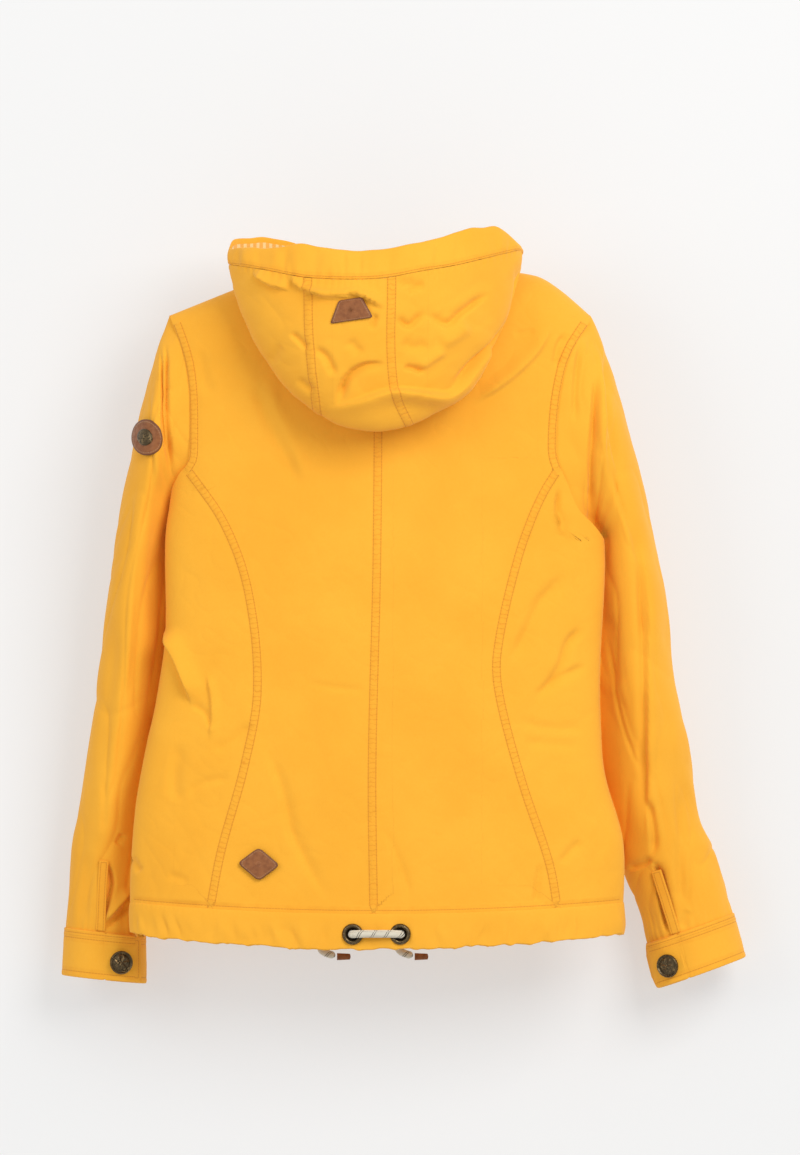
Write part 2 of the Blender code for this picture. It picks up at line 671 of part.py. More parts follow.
def sleeves(parts, cutters):
    for side, word in ((LEFT, "left"), (RIGHT, "right")):
        surface = sleeve(side)
        angles = round_angles(20)
        inside = surface(3.0, 0).lerp(surface(3.0, 180), 0.5)
        open_sheet(f"upper_sleeve_{word}", surface, spread(0, ELBOW_ROW - 0.015, 9), angles, inside,
                   cotton(), parts, closed=True)
        inside = surface(8.0, 0).lerp(surface(8.0, 180), 0.5)
        lower = open_sheet(f"lower_sleeve_{word}", surface, spread(ELBOW_ROW, 10, 8), angles, inside,
                           cotton(), parts, closed=True)
        hinge_angle = (LEFT_TAB if side == LEFT else RIGHT_TAB)[0]
        low, high = surface(9.99, hinge_angle), surface(10 - SLIT_LENGTH_ROWS, hinge_angle)
        slit = box(f"cut_slit_{word}", (-SLIT_WIDTH / 2, -0.012, -0.005),
                   (SLIT_WIDTH / 2, 0.012, (high - low).length), cotton(), cutters)
        slit.rotation_euler = (high - low).to_track_quat("Z", "Y").to_euler()
        slit.location = low
        boolean(lower, slit, "DIFFERENCE")


def cuffs(parts):
    for side, word, tab in ((LEFT, "left", LEFT_TAB), (RIGHT, "right", RIGHT_TAB)):
        surface = cuff(side)
        inside = surface(0.5, 0).lerp(surface(0.5, 180), 0.5)
        start, snap, end = tab
        band = [v for v in spread(start - 4 - 352, start - 4, 26)]
        open_sheet(f"cuff_{word}", surface, spread(0, 1, 2), band, inside, cotton(), parts,
                   raise_by=CUFF_PROUD, thickness=0.0022)
        raised = CUFF_PROUD + TAB_RAISE + TAB_THICK
        made = open_sheet(f"cuff_tab_{word}", surface, spread(0.04, 0.97, 3), spread(start, end, 8),
                          inside, cotton(), parts, raise_by=raised, thickness=TAB_THICK)
        pivot = tab_axis(side)[0]
        move_origin(made, pivot)
        spot = surface(0.60, snap)
        facing = face_at(surface, 0.60, snap, inside)
        cap = [(0, 0.0036), (0.004, 0.0036), (0.0078, 0.0030), (0.0100, 0.0024),
               (SNAP_RADIUS, 0.0012), (SNAP_RADIUS, 0.0), (0, 0.0)]
        turned(f"cuff_snap_cap_{word}", cap, spot + facing * (raised + 0.0003), facing, brass(), parts)
        stud = [(0, 0.0019), (0.0030, 0.0019), (0.0048, 0.0010), (0.0048, 0.0), (0, 0.0)]
        turned(f"cuff_snap_stud_{word}", stud, spot + facing * (CUFF_PROUD + 0.0003), facing, brass(),
               parts)
        strip = sleeve(side)
        inner = strip(9.5, 0).lerp(strip(9.5, 180), 0.5)
        open_sheet(f"sleeve_placket_{word}", strip, spread(10 - SLIT_LENGTH_ROWS, 9.97, 4),
                   spread(start + 4, start + 20, 2), inner, cotton(), parts,
                   raise_by=SKIN_GAP + 0.001, thickness=0.001)


def face_at(surface, u, v, inside):
    here = surface(u, v)
    facing = (surface(u + 0.01, v) - here).cross(surface(u, v + 1.0) - here).normalized()
    return facing if facing.dot(here - inside) > 0 else -facing


def tab_axis(side):
    """Where a cuff's tab is sewn down: its line's upper and lower end, on the tab's inner face."""
    surface = cuff(side)
    inside = surface(0.5, 0).lerp(surface(0.5, 180), 0.5)
    start = (LEFT_TAB if side == LEFT else RIGHT_TAB)[0]
    ends = []
    for v in (0.04, 0.97):
        facing = face_at(surface, v, start, inside)
        ends.append(surface(v, start) + facing * (CUFF_PROUD + TAB_RAISE))
    return ends


def move_origin(obj, point):
    for vertex in obj.data.vertices:
        vertex.co -= point
    obj.location = point


def hood_pieces(parts):
    inside = (HOOD_MIDDLE_X, HOOD_SEAT_Y - HOOD_HALF_DEPTH, -0.04)
    left, right = HOOD_MIDDLE_X - HOOD_HALF_WIDTH * 0.997, HOOD_MIDDLE_X + HOOD_HALF_WIDTH * 0.997
    gap = SEAM_GAP / 2
    panels = [("left", lambda z: left, seam(HOOD_LEFT_SEAM, -gap), 6),
              ("centre", seam(HOOD_LEFT_SEAM, gap), seam(HOOD_RIGHT_SEAM, -gap), 5),
              ("right", seam(HOOD_RIGHT_SEAM, gap), lambda z: right, 6)]
    for word, start, end, columns in panels:
        def surface(u, v, start=start, end=end):
            z = -0.01 - 0.155 * math.sin(math.pi * min(v, 0.5))
            if v > 0.5:
                z = -0.165
            low, high = hood_angle(start(z)), hood_angle(end(z))
            return hood(HOOD_MIDDLE_X + HOOD_HALF_WIDTH * math.sin(mix(low, high, u)), v)
        open_sheet(f"hood_panel_{word}", surface, spread(0, 1, columns), spread(0, 1, 12), inside,
                   cotton(), parts, thickness=0.0012)
    open_sheet("hood_rim_casing", casing, spread(-1, 1, 20), spread(0, 1, 2), inside, cotton(), parts,
               thickness=0.003)

    def inner(u, v):
        return hood(HOOD_MIDDLE_X + HOOD_HALF_WIDTH * math.sin(math.radians(u)),
                    mix(0.03, 0.97, v), 0.0050)
    open_sheet("hood_lining", inner, spread(-60, 60, 8), spread(0, 1, 12), inside, lining(), parts,
               thickness=0.001)


def hood_angle(x):
    return math.asin(min(max((x - HOOD_MIDDLE_X) / HOOD_HALF_WIDTH, -0.9985), 0.9985))


def patches(parts):
    def hood_spot(x, z):
        low, high = 0.0, 0.5
        for _ in range(30):
            middle = (low + high) / 2
            low, high = (middle, high) if hood(x, middle).z > z else (low, middle)
        return hood(x, low)
    x, z = HOOD_PATCH
    corners = [(x - 0.0205, z - 0.0125), (x + 0.0195, z - 0.0065), (x + 0.009, z + 0.0125),
               (x - 0.0125, z + 0.0095)]
    laid_plate("hood_patch", hood_spot, polygon(corners, 4), BACK, leather(), parts, SKIN_GAP, 0.0016)

    def back_spot(x, z):
        return Vector((x, body_y(BACK, x, z), z))
    x, z = HEM_PATCH
    corners = [(x - 0.020, z + 0.001), (x, z + 0.016), (x + 0.020, z - 0.001), (x, z - 0.016)]
    laid_plate("hem_patch", back_spot, polygon(corners, 4), BACK, leather(), parts, SKIN_GAP, 0.0016)

    surface = sleeve(LEFT)

    def arm_spot(x, z):
        return surface(*solve(surface, x, z, 2.6, -62))
    x, z = ARM_PATCH
    for name, radius, finish, gap in (("arm_patch", 1.0, leather(), 4 * SKIN_GAP),
                                      ("arm_patch_emblem", 0.38, brass(), 0.0016 + 5 * SKIN_GAP)):
        outline = [(x + 0.0125 * radius * math.cos(math.radians(a)),
                    z + 0.0165 * radius * math.sin(math.radians(a))) for a in range(0, 360, 24)]
        laid_plate(name, arm_spot, outline, BACK, finish, parts, gap, 0.0016)


def pockets(parts):
    def front_spot(x, z):
        return Vector((x, body_y(FRONT, x, z), z))
    for side, word in ((LEFT, "left"), (RIGHT, "right")):
        corners = [(side * 0.104, -0.405), (side * 0.126, -0.400), (side * 0.160, -0.545),
                   (side * 0.138, -0.550)]
        laid_plate(f"pocket_welt_{word}", front_spot, polygon(corners, 5), FRONT, cotton(), parts,
                   SKIN_GAP, 0.002)


def zip_fastener(parts, cutters):
    y, half = ZIP_PLANE_Y, CHAIN_THICK / 2
    for side, word in ((LEFT, "left"), (RIGHT, "right")):
        spans = sorted((side * CHAIN_INNER, side * CHAIN_OUTER))
        box(f"zip_chain_{word}", (spans[0], y - half, ZIP_BOTTOM_Z), (spans[1], y + half, ZIP_TOP_Z),
            nylon(), parts)
        spans = sorted((side * (CHAIN_OUTER + 0.0003), side * TAPE_OUTER))
        box(f"zip_tape_{word}", (spans[0], y - TAPE_THICK / 2, ZIP_BOTTOM_Z),
            (spans[1], y + TAPE_THICK / 2, TAPE_TOP_Z), nylon(), parts)
        spans = sorted((side * 0.0013, side * 0.0040))
        box(f"zip_top_stop_{word}", (spans[0], y - 0.0016, ZIP_TOP_Z + 0.0005),
            (spans[1], y + 0.0016, ZIP_TOP_Z + 0.0035), brass(), parts)
    box("zip_retainer", (-0.0050, y - 0.0022, ZIP_BOTTOM_Z - 0.010),
        (0.0050, y + 0.0022, ZIP_BOTTOM_Z - 0.0005), brass(), parts)
    inner = half + 0.0005
    plate = inner + SLIDER_PLATE
    low, high = SLIDER_Z - SLIDER_HEIGHT / 2, SLIDER_Z + SLIDER_HEIGHT / 2
    slider = box("zip_slider", (-SLIDER_HALF_WIDTH, y + inner, low), (SLIDER_HALF_WIDTH, y + plate, high),
                 brass(), parts)
    boolean(slider, box("join_back", (-SLIDER_HALF_WIDTH, y - plate, low),
                        (SLIDER_HALF_WIDTH, y - inner, high), brass(), cutters), "UNION")
    boolean(slider, box("join_post", (-SLIDER_POST, y - inner - 0.0005, low + 0.002),
                        (SLIDER_POST, y + inner + 0.0005, high - 0.002), brass(), cutters), "UNION")
    axis_y, axis_z = y + plate + PULL_AXIS_OUT, SLIDER_Z + 0.003
    for side in (LEFT, RIGHT):
        ends = sorted((side * 0.0030, side * 0.0045))
        boolean(slider, box(f"join_ear_{side}", (ends[0], y + plate - 0.0005, axis_z - 0.0014),
                            (ends[1], axis_y + 0.0013, axis_z + 0.0014), brass(), cutters), "UNION")
    pin = turned("join_pin", [(0, 0.0036), (0.0008, 0.0036), (0.0008, -0.0036), (0, -0.0036)],
                 (0, axis_y, axis_z), (1, 0, 0), brass(), cutters, 12)
    boolean(slider, pin, "UNION")
    eye = turned("zip_pull", [(0.0012, 0.0024), (0.0025, 0.0024), (0.0025, -0.0024), (0.0012, -0.0024)],
                 (0, axis_y, axis_z), (1, 0, 0), brass(), parts, 16)
    tab = box("join_pull", (-0.0024, axis_y - 0.0008, axis_z - 0.011),
              (0.0024, axis_y + 0.0008, axis_z - 0.0016), brass(), cutters)
    boolean(eye, tab, "UNION")
    tongue = box("join_tongue", (-0.0040, axis_y - 0.0012, axis_z - PULL_LENGTH),
                 (0.0040, axis_y + 0.0012, axis_z - 0.009), brass(), cutters)
    boolean(eye, tongue, "UNION")


def build():
    clear_scene()
    parts = bpy.data.collections.new("hooded_jacket")
    cutters = bpy.data.collections.new("cutters")
    for collection in (parts, cutters):
        bpy.context.scene.collection.children.link(collection)
    body_panels(parts)
    neck(parts)
    hem(parts, cutters)
    hem_cord(parts)
    sleeves(parts, cutters)
    cuffs(parts)
    hood_pieces(parts)
    patches(parts)
    pockets(parts)
    zip_fastener(parts, cutters)


build()
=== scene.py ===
"""The looks of a hooded cotton jacket on a wall: cloth shells with folds and felled seams, a gathered
hem, sleeves with snap cuffs, a hanging hood, leather patches, cord, zip and brass fittings.

Metres; +X is the wearer's right, +Y the wearer's front and +Z up. Distances across and along a
seam are kept in millimetres.
"""

import math
from functools import partial

import bpy
import numpy as np
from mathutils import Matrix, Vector


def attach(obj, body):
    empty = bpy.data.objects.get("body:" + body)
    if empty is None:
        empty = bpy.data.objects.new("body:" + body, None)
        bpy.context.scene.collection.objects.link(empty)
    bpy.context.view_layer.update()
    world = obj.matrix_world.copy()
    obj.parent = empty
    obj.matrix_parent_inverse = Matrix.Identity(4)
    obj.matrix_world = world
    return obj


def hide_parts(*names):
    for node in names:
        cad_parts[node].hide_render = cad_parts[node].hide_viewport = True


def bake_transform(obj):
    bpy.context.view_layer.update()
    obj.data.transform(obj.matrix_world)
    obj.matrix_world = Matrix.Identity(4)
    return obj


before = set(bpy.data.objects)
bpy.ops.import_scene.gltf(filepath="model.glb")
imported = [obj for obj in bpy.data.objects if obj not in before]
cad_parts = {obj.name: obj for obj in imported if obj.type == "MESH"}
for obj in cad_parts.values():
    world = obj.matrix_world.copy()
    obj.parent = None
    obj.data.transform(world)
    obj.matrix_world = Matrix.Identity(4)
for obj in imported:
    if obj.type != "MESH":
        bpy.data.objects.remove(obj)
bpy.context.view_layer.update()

LEFT, RIGHT = -1, 1
BACK, FRONT = -1, 1
HANDS, VIEWS = {LEFT: "left", RIGHT: "right"}, {BACK: "back", FRONT: "front"}
MM = 0.001

# ---- camera, stage and light ------------------------------------------------------------------
CAMERA_DISTANCE = 12.0
VIEW_CENTRE = (0.0209, -0.29973)
VIEW_HEIGHT = 1.09725


def make_camera():
    data = bpy.data.cameras.new("camera")
    data.sensor_width = 36
    data.lens = data.sensor_width * CAMERA_DISTANCE / VIEW_HEIGHT
    data.clip_end = 100
    camera = bpy.data.objects.new("camera", data)
    bpy.context.scene.collection.objects.link(camera)
    camera.location = (VIEW_CENTRE[0], -CAMERA_DISTANCE, VIEW_CENTRE[1])
    camera.rotation_euler = (math.radians(90), 0, 0)
    bpy.context.scene.camera = camera


make_camera()


# ---- curves and noise -------------------------------------------------------------------------
def along(points, t):
    """Values at t on a smooth curve through (t, value, ...) points, held past both ends."""
    table = np.array(sorted(points), float)
    keys, values = table[:, 0], table[:, 1:]
    t = np.clip(np.asarray(t, float), keys[0], keys[-1])
    i = np.clip(np.searchsorted(keys, t, side="right") - 1, 0, len(keys) - 2)
    i0, i3 = np.maximum(i - 1, 0), np.minimum(i + 2, len(keys) - 1)
    span = keys[i + 1] - keys[i]
    a, b = values[i], values[i + 1]
    slope0 = (b - values[i0]) * (span / (keys[i + 1] - keys[i0]))[..., None]
    slope1 = (values[i3] - a) * (span / (keys[i3] - keys[i]))[..., None]
    k = ((t - keys[i]) / span)[..., None]
    out = (a * (2 * k**3 - 3 * k**2 + 1) + slope0 * (k**3 - 2 * k**2 + k)
           + b * (3 * k**2 - 2 * k**3) + slope1 * (k**3 - k**2))
    return out[..., 0] if out.shape[-1] == 1 else out


def mix(a, b, k):
    return a + (b - a) * k


def smooth(k):
    k = np.clip(k, 0.0, 1.0)
    return k * k * (3 - 2 * k)


def distance_along(points):
    """How far along a line of points each one is."""
    return np.concatenate([[0], np.cumsum(np.linalg.norm(np.diff(points, axis=0), axis=1))])


def smooth_line(points, step):
    """Points about step apart on a smooth curve through the given ones."""
    points = np.array(points, float)
    run = distance_along(points)
    table = np.column_stack([run, points])
    count = max(int(math.ceil(run[-1] / step)), 2)
    return along([tuple(row) for row in table], np.linspace(0, run[-1], count + 1))


def lattice(seed, cells=64):
    return np.random.default_rng(seed).random((cells, cells)) * 2 - 1


def noise(a, b, scale, seed):
    """Smooth value noise from -1 to 1 over two coordinates, with cells of the given size."""
    table = lattice(seed)
    a, b = np.asarray(a) / scale + 17.3, np.asarray(b) / scale + 31.7
    i, j = np.floor(a).astype(int), np.floor(b).astype(int)
    p, q = smooth(a - i), smooth(b - j)
    n = len(table)
    top = mix(table[i % n, j % n], table[(i + 1) % n, j % n], p)
    low = mix(table[i % n, (j + 1) % n], table[(i + 1) % n, (j + 1) % n], p)
    return mix(top, low, q)


def track(px, pz, path):
    """Signed distance to a path (positive on the left of its direction), arc length, total length."""
    fine = smooth_line(path, 0.006)
    starts, steps = fine[:-1], np.diff(fine, axis=0)
    lengths = np.linalg.norm(steps, axis=1)
    before = np.concatenate([[0], np.cumsum(lengths)])
    best = np.full(px.shape, 1e9)
    sign = np.ones(px.shape)
    run = np.zeros(px.shape)
    for (sx, sz), (dx, dz), length, base in zip(starts, steps, lengths, before):
        rx, rz = px - sx, pz - sz
        k = np.clip((rx * dx + rz * dz) / length**2, 0, 1)
        gap = np.hypot(rx - k * dx, rz - k * dz)
        nearer = gap < best
        best = np.where(nearer, gap, best)
        sign = np.where(nearer, np.sign(dx * rz - dz * rx + 1e-12), sign)
        run = np.where(nearer, base + k * length, run)
    return best * sign, run, before[-1]


def near(px, pz, path, reach):
    path = np.array(path)
    (x0, z0), (x1, z1) = path.min(0) - reach, path.max(0) + reach
    return (px > x0) & (px < x1) & (pz > z0) & (pz < z1)


def folds(px, pz, rows, seed=5):
    """The height of folds and creases, in metres, from rows of path, width, height and sharpness: how
    much narrower the fold is on the right of its path."""
    out = np.zeros(px.shape)
    for index, (path, width, height, sharp) in enumerate(rows):
        path = [(x * MM, z * MM) for x, z in path]
        here = near(px, pz, path, width * MM * 3)
        if not here.any():
            continue
        gap, run, total = track(px[here], pz[here], path)
        share = run / total
        reach = np.where(gap > 0, width, width * sharp) * MM
        lively = 1 + 0.25 * noise(run, np.full_like(run, index), 0.02, seed)
        fade = smooth(share / 0.25) * smooth((1 - share) / 0.25)
        out[here] += height * MM * np.exp(-(gap / reach) ** 2) * fade * lively
    return out


NO_SEAM = 99.0
DOUBLE, SINGLE = 0.0, 1.0


def seams(px, pz, rows):
    """Distance across, length along and kind of the nearest seam, in mm, and the band's relief."""
    across = np.full(px.shape, NO_SEAM)
    run_mm = np.zeros(px.shape)
    kind = np.zeros(px.shape)
    relief = np.zeros(px.shape)
    for index, (path, half, sort, height) in enumerate(rows):
        here = near(px, pz, path, 0.014)
        if not here.any():
            continue
        gap, run, total = track(px[here], pz[here], path)
        gap, run = gap / MM, run / MM
        inside = (run > 0.01) & (run < total / MM - 0.01)
        scaled = gap * (3.3 / half) if sort == DOUBLE else gap
        nearer = inside & (np.abs(scaled) < np.abs(across[here]))
        spots = np.flatnonzero(here.ravel())[nearer]
        across.ravel()[spots] = scaled[nearer]
        run_mm.ravel()[spots] = run[nearer]
        kind.ravel()[spots] = sort
        if sort == DOUBLE:
            edge = np.exp(-((np.abs(gap) - half) / 0.9) ** 2)
            top = smooth((half + 1.0 - np.abs(gap)) / 1.6)
            beat = run + 1.2 * noise(run, np.full_like(run, index), 9, 71)
            pucker = np.sin(beat * 2 * math.pi / 4.6)
            strong = 0.6 + 0.4 * noise(run, np.full_like(run, index + 40), 14, 72)
            outside = np.exp(-((np.abs(gap) - half - 1.6) / 2.0) ** 2)
            raised = height * (top * 0.75 + pucker * 0.26 * top * strong - edge * 0.40
                               - outside * (0.22 + 0.22 * pucker * strong))
        else:
            raised = height * (-np.exp(-(gap / 1.1) ** 2)
                               + 0.3 * np.exp(-((gap + 2.4) / 1.5) ** 2)
                               * np.sin(run * 2 * math.pi / 5.5 + 2 * noise(run, gap * 0, 20, 9)))
        relief[here] += raised * MM * inside
    return across, run_mm, kind, relief


def seam_marks(across, run, kind=SINGLE):
    """The cloth's attribute, from distances across and along a seam in mm."""
    return {"seam": np.stack(np.broadcast_arrays(across, run, kind), -1)}


# ---- making meshes ----------------------------------------------------------------------------
def fitted(obj, body, slot, *nodes):
    """Put a piece on its body and hide the solids that it stands for; the slot argument is not used."""
    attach(obj, body)
    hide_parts(*nodes)


def hinged_at_neck(obj, slot, *nodes):
    """Bake a piece's placement into its mesh, and hide any solids that it stands for."""
    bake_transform(obj)
    if nodes:
        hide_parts(*nodes)


def grid_normals(points, wrap_u=False, wrap_v=False):
    def slope(axis, wrap):
        if wrap:
            return np.roll(points, -1, axis) - np.roll(points, 1, axis)
        return np.gradient(points, axis=axis)
    normal = np.cross(slope(0, wrap_u), slope(1, wrap_v))
    return normal / np.maximum(np.linalg.norm(normal, axis=-1, keepdims=True), 1e-12)


def grid_faces(rows, columns, wrap_u=False, wrap_v=False):
    i = np.arange(rows if wrap_u else rows - 1)[:, None]
    j = np.arange(columns if wrap_v else columns - 1)[None, :]
    i2, j2 = (i + 1) % rows, (j + 1) % columns
    return np.stack([i * columns + j, i2 * columns + j, i2 * columns + j2, i * columns + j2],
                    axis=-1).reshape(-1, 4)


def emit(name, points, faces, finish, attributes=None, normals=None):
    """An object from arrays; attributes are {name: (n, 3) array}; normals keep a split smooth."""
    mesh = bpy.data.meshes.new(name)
    mesh.from_pydata(np.asarray(points, float).reshape(-1, 3).tolist(), [], [list(f) for f in faces])
    for key, values in (attributes or {}).items():
        layer = mesh.attributes.new(key, "FLOAT_VECTOR", "POINT")
        layer.data.foreach_set("vector", np.asarray(values, np.float32).reshape(-1))
    mesh.materials.append(finish)
    mesh.shade_smooth()
    if normals is not None:
        mesh.normals_split_custom_set_from_vertices(normals.reshape(-1, 3).tolist())
    obj = bpy.data.objects.new(name, mesh)
    bpy.context.scene.collection.objects.link(obj)
    return obj


def outward(points, inside, wrap_u=False, wrap_v=False):
    """The grid's normals, turned to face away from a point, and whether they were turned."""
    normal = grid_normals(points, wrap_u, wrap_v)
    flipped = ((points - np.asarray(inside)) * normal).sum() < 0
    return (-normal if flipped else normal), flipped


def sheet_mesh(name, points, inside, finish, attributes=None, wrap_v=False, normals=None):
    """A single open surface facing away from a point."""
    _, flipped = outward(points, inside, False, wrap_v)
    faces = grid_faces(points.shape[0], points.shape[1], False, wrap_v)
    return emit(name, points, faces[:, ::-1] if flipped else faces, finish, attributes, normals)


def slab(name, points, inside, thickness, finish, attributes=None):
    """A closed sheet of cloth or leather: a face, its back, and a rounded edge between them."""
    rows, columns, _ = points.shape
    normal, flipped = outward(points, inside)
    count = rows * columns
    top, low = points.reshape(-1, 3), (points - normal * thickness).reshape(-1, 3)
    index = np.arange(count).reshape(rows, columns)
    rim = np.concatenate([index[0, :-1], index[:-1, -1], index[-1, :0:-1], index[:0:-1, 0]])
    inner = np.clip(np.stack(np.unravel_index(rim, (rows, columns))), 1,
                    np.array([[rows - 2], [columns - 2]]))
    away = top[rim] - points[inner[0], inner[1]]
    away /= np.maximum(np.linalg.norm(away, axis=1, keepdims=True), 1e-9)
    rings = []
    for depth, reach in ((0.18, 0.38), (0.5, 0.52), (0.82, 0.38)):
        rings.append(mix(top[rim], low[rim], depth) + away * thickness * reach)
    faces = [grid_faces(rows, columns), grid_faces(rows, columns)[:, ::-1] + count]
    levels = [rim] + [2 * count + len(rim) * k + np.arange(len(rim)) for k in range(3)] + [rim + count]
    for a, b in zip(levels, levels[1:]):
        faces.append(np.stack([a, np.roll(a, -1), np.roll(b, -1), b], axis=-1))
    faces = np.concatenate(faces)
    if flipped:
        faces = faces[:, ::-1]
    extra = {}
    for key, values in (attributes or {}).items():
        flat = np.asarray(values).reshape(-1, 3)
        extra[key] = np.concatenate([flat, flat, flat[rim], flat[rim], flat[rim]])
    return emit(name, np.concatenate([top, low] + rings), faces, finish, extra)


def section_mesh(name, points, finish, attributes=None, wrap_u=False, caps=True):
    """A lofted closed section: columns go round the section, rows along it."""
    rows, columns, _ = points.shape
    _, flipped = outward(points, points.mean(axis=1, keepdims=True), wrap_u, True)
    faces = grid_faces(rows, columns, wrap_u, True)
    faces = (faces[:, ::-1] if flipped else faces).tolist()
    if caps and not wrap_u:
        first, last = list(range(columns)), list(range((rows - 1) * columns, rows * columns))
        faces += [first[::-1], last] if not flipped else [first, last[::-1]]
    return emit(name, points, faces, finish, attributes)


def frames_along(route):
    """Tangents and two side vectors that turn as little as possible along a route."""
    ahead = np.gradient(route, axis=0)
    ahead /= np.linalg.norm(ahead, axis=1, keepdims=True)
    side = np.cross(ahead[0], (0.3, 0.1, 1.0))
    sides = []
    for direction in ahead:
        side = side - direction * side.dot(direction)
        side = side / np.linalg.norm(side)
        sides.append(side)
    sides = np.array(sides)
    return ahead, sides, np.cross(ahead, sides)


def sweep(name, route, radius, finish, around=16, relief=None):
    """A tube along a route; relief(length, turn) adds to its radius. Keeps length and turn."""
    route = np.array(route, float)
    run = distance_along(route)
    _, side, other = frames_along(route)
    turn = np.linspace(0, 1, around, endpoint=False)
    reach = np.full((len(route), around), radius)
    if relief is not None:
        reach = reach + relief(run[:, None], turn[None, :])
    close = np.minimum(run, run[-1] - run) / radius
    reach = reach * np.sqrt(np.clip(1 - (1 - np.clip(close, 0.05, 1)) ** 2, 0, 1))[:, None]
    ring = (np.cos(turn * 2 * math.pi)[None, :, None] * side[:, None]
            + np.sin(turn * 2 * math.pi)[None, :, None] * other[:, None])
    points = route[:, None] + ring * reach[..., None]
    marks = np.stack([np.broadcast_to(run[:, None] / MM, reach.shape),
                      np.broadcast_to(turn[None, :], reach.shape), np.zeros(reach.shape)], -1)
    return section_mesh(name, points, finish, {"tube": marks})


def lathe(name, profile, spot, axis, finish, steps=48, relief=None):
    """A turned piece from (radius, height) pairs; relief(radius, height, turn) adds height."""
    axis = Vector(axis).normalized()
    basis = np.array(axis.to_track_quat("Z", "Y").to_matrix())
    turn = np.linspace(0, 2 * math.pi, steps, endpoint=False)
    radius = np.array([p[0] for p in profile])[:, None]
    height = np.array([p[1] for p in profile])[:, None] + turn[None, :] * 0
    if relief is not None:
        height = height + relief(radius, height, turn[None, :])
    local = np.stack([radius * np.cos(turn), radius * np.sin(turn), height], -1)
    points = local @ basis.T + np.array(spot)
    closed = profile[0][0] > 1e-9
    return section_mesh(name, points, finish, wrap_u=closed, caps=not closed)


# ---- materials --------------------------------------------------------------------------------
class Wire:
    """A shader value whose arithmetic adds Math nodes."""

    def __init__(self, graph, socket):
        self.graph, self.socket = graph, socket

    def __add__(self, other):
        return self.graph.math("ADD", self, other)

    def __sub__(self, other):
        return self.graph.math("SUBTRACT", self, other)

    def __rsub__(self, other):
        return self.graph.math("SUBTRACT", other, self)

    def __mul__(self, other):
        return self.graph.math("MULTIPLY", self, other)

    def __truediv__(self, other):
        return self.graph.math("DIVIDE", self, other)

    def __abs__(self):
        return self.graph.math("ABSOLUTE", self)


class Graph:
    """A node material with short calls for its parts."""

    def __init__(self, name):
        self.material = bpy.data.materials.new(name)
        self.material.use_nodes = True
        self.tree = self.material.node_tree
        self.shader = self.tree.nodes["Principled BSDF"]

    def node(self, kind, inputs=(), **settings):
        """A node with its settings, and its inputs from (name or index, value) pairs."""
        made = self.tree.nodes.new(kind)
        for key, value in settings.items():
            setattr(made, key, value)
        for key, value in inputs:
            self.join(value, made.inputs[key])
        return made

    def join(self, source, target):
        if isinstance(source, Wire):
            self.tree.links.new(source.socket, target)
        elif isinstance(source, bpy.types.NodeSocket):
            self.tree.links.new(source, target)
        elif isinstance(source, tuple) and target.type == "RGBA":
            target.default_value = (*source, 1.0)
        else:
            target.default_value = source

    def math(self, operation, a, b=0.0):
        return Wire(self, self.node("ShaderNodeMath", enumerate((a, b)), operation=operation).outputs[0])

    def beat(self, value):
        """A value folded back and forth between 0 and 0.5."""
        return self.math("PINGPONG", value, 0.5)

    def ramp(self, value, low, high, to_low=0.0, to_high=1.0):
        made = self.node("ShaderNodeMapRange", enumerate((value, low, high, to_low, to_high)),
                         interpolation_type="SMOOTHSTEP")
        return Wire(self, made.outputs[0])

    def blend(self, factor, a, b):
        made = self.node("ShaderNodeMix", ((0, factor), (6, a), (7, b)), data_type="RGBA", blend_type="MIX")
        return Wire(self, made.outputs[2])

    def place(self):
        return self.node("ShaderNodeTexCoord").outputs["Object"]

    def noise(self, scale, detail=2.0, stretch=None):
        where = self.place()
        if stretch:
            where = self.node("ShaderNodeMapping", (("Scale", stretch), ("Vector", where))).outputs[0]
        made = self.node("ShaderNodeTexNoise", (("Vector", where), ("Scale", scale), ("Detail", detail)))
        return Wire(self, made.outputs[0])

    def wave(self, direction, scale):
        inputs = (("Vector", self.place()), ("Scale", scale), ("Distortion", 0.6), ("Detail Scale", 2.0))
        made = self.node("ShaderNodeTexWave", inputs, wave_type="BANDS", bands_direction=direction)
        return Wire(self, made.outputs["Fac"])

    def split(self, vector):
        """The three numbers of a vector."""
        parts = self.node("ShaderNodeSeparateXYZ", ((0, vector),))
        return [Wire(self, part) for part in parts.outputs]

    def attribute(self, name):
        return self.split(self.node("ShaderNodeAttribute", attribute_name=name).outputs["Vector"])

    def bump(self, height_mm, strength=1.0):
        made = self.node("ShaderNodeBump", (("Strength", strength), ("Distance", MM), ("Height", height_mm)))
        self.join(made.outputs[0], self.shader.inputs["Normal"])

    def finish(self, colour, roughness, **sockets):
        self.join(colour, self.shader.inputs["Base Color"])
        self.join(roughness, self.shader.inputs["Roughness"])
        for key, value in sockets.items():
            self.shader.inputs[key.replace("_", " ")].default_value = value
        return self.material


YELLOW = (0.90, 0.425, 0.034)
THREAD = (0.60, 0.215, 0.020)
# Seam colour: the band's own deeper orange, and painted shade in the stitch grooves and pucker valleys.
SEAM_DYE_AND_PAINTED_SHADE = (0.80, 0.315, 0.022)
SHEEN_TINT = (1.0, 0.75, 0.4, 1.0)
STITCH_MM, STITCH_LANE_MM, RUNG_MM, BRAID_MM = 2.8, 3.3, 4.6, 12.7


def weave(g, threads=1500.0):
    """The height of a plain weave in mm, from two crossed sets of threads."""
    cloth = g.wave("X", threads / 6.3) + g.wave("Z", threads / 6.3)
    return cloth * 0.020 + g.noise(900, 2.0) * 0.05


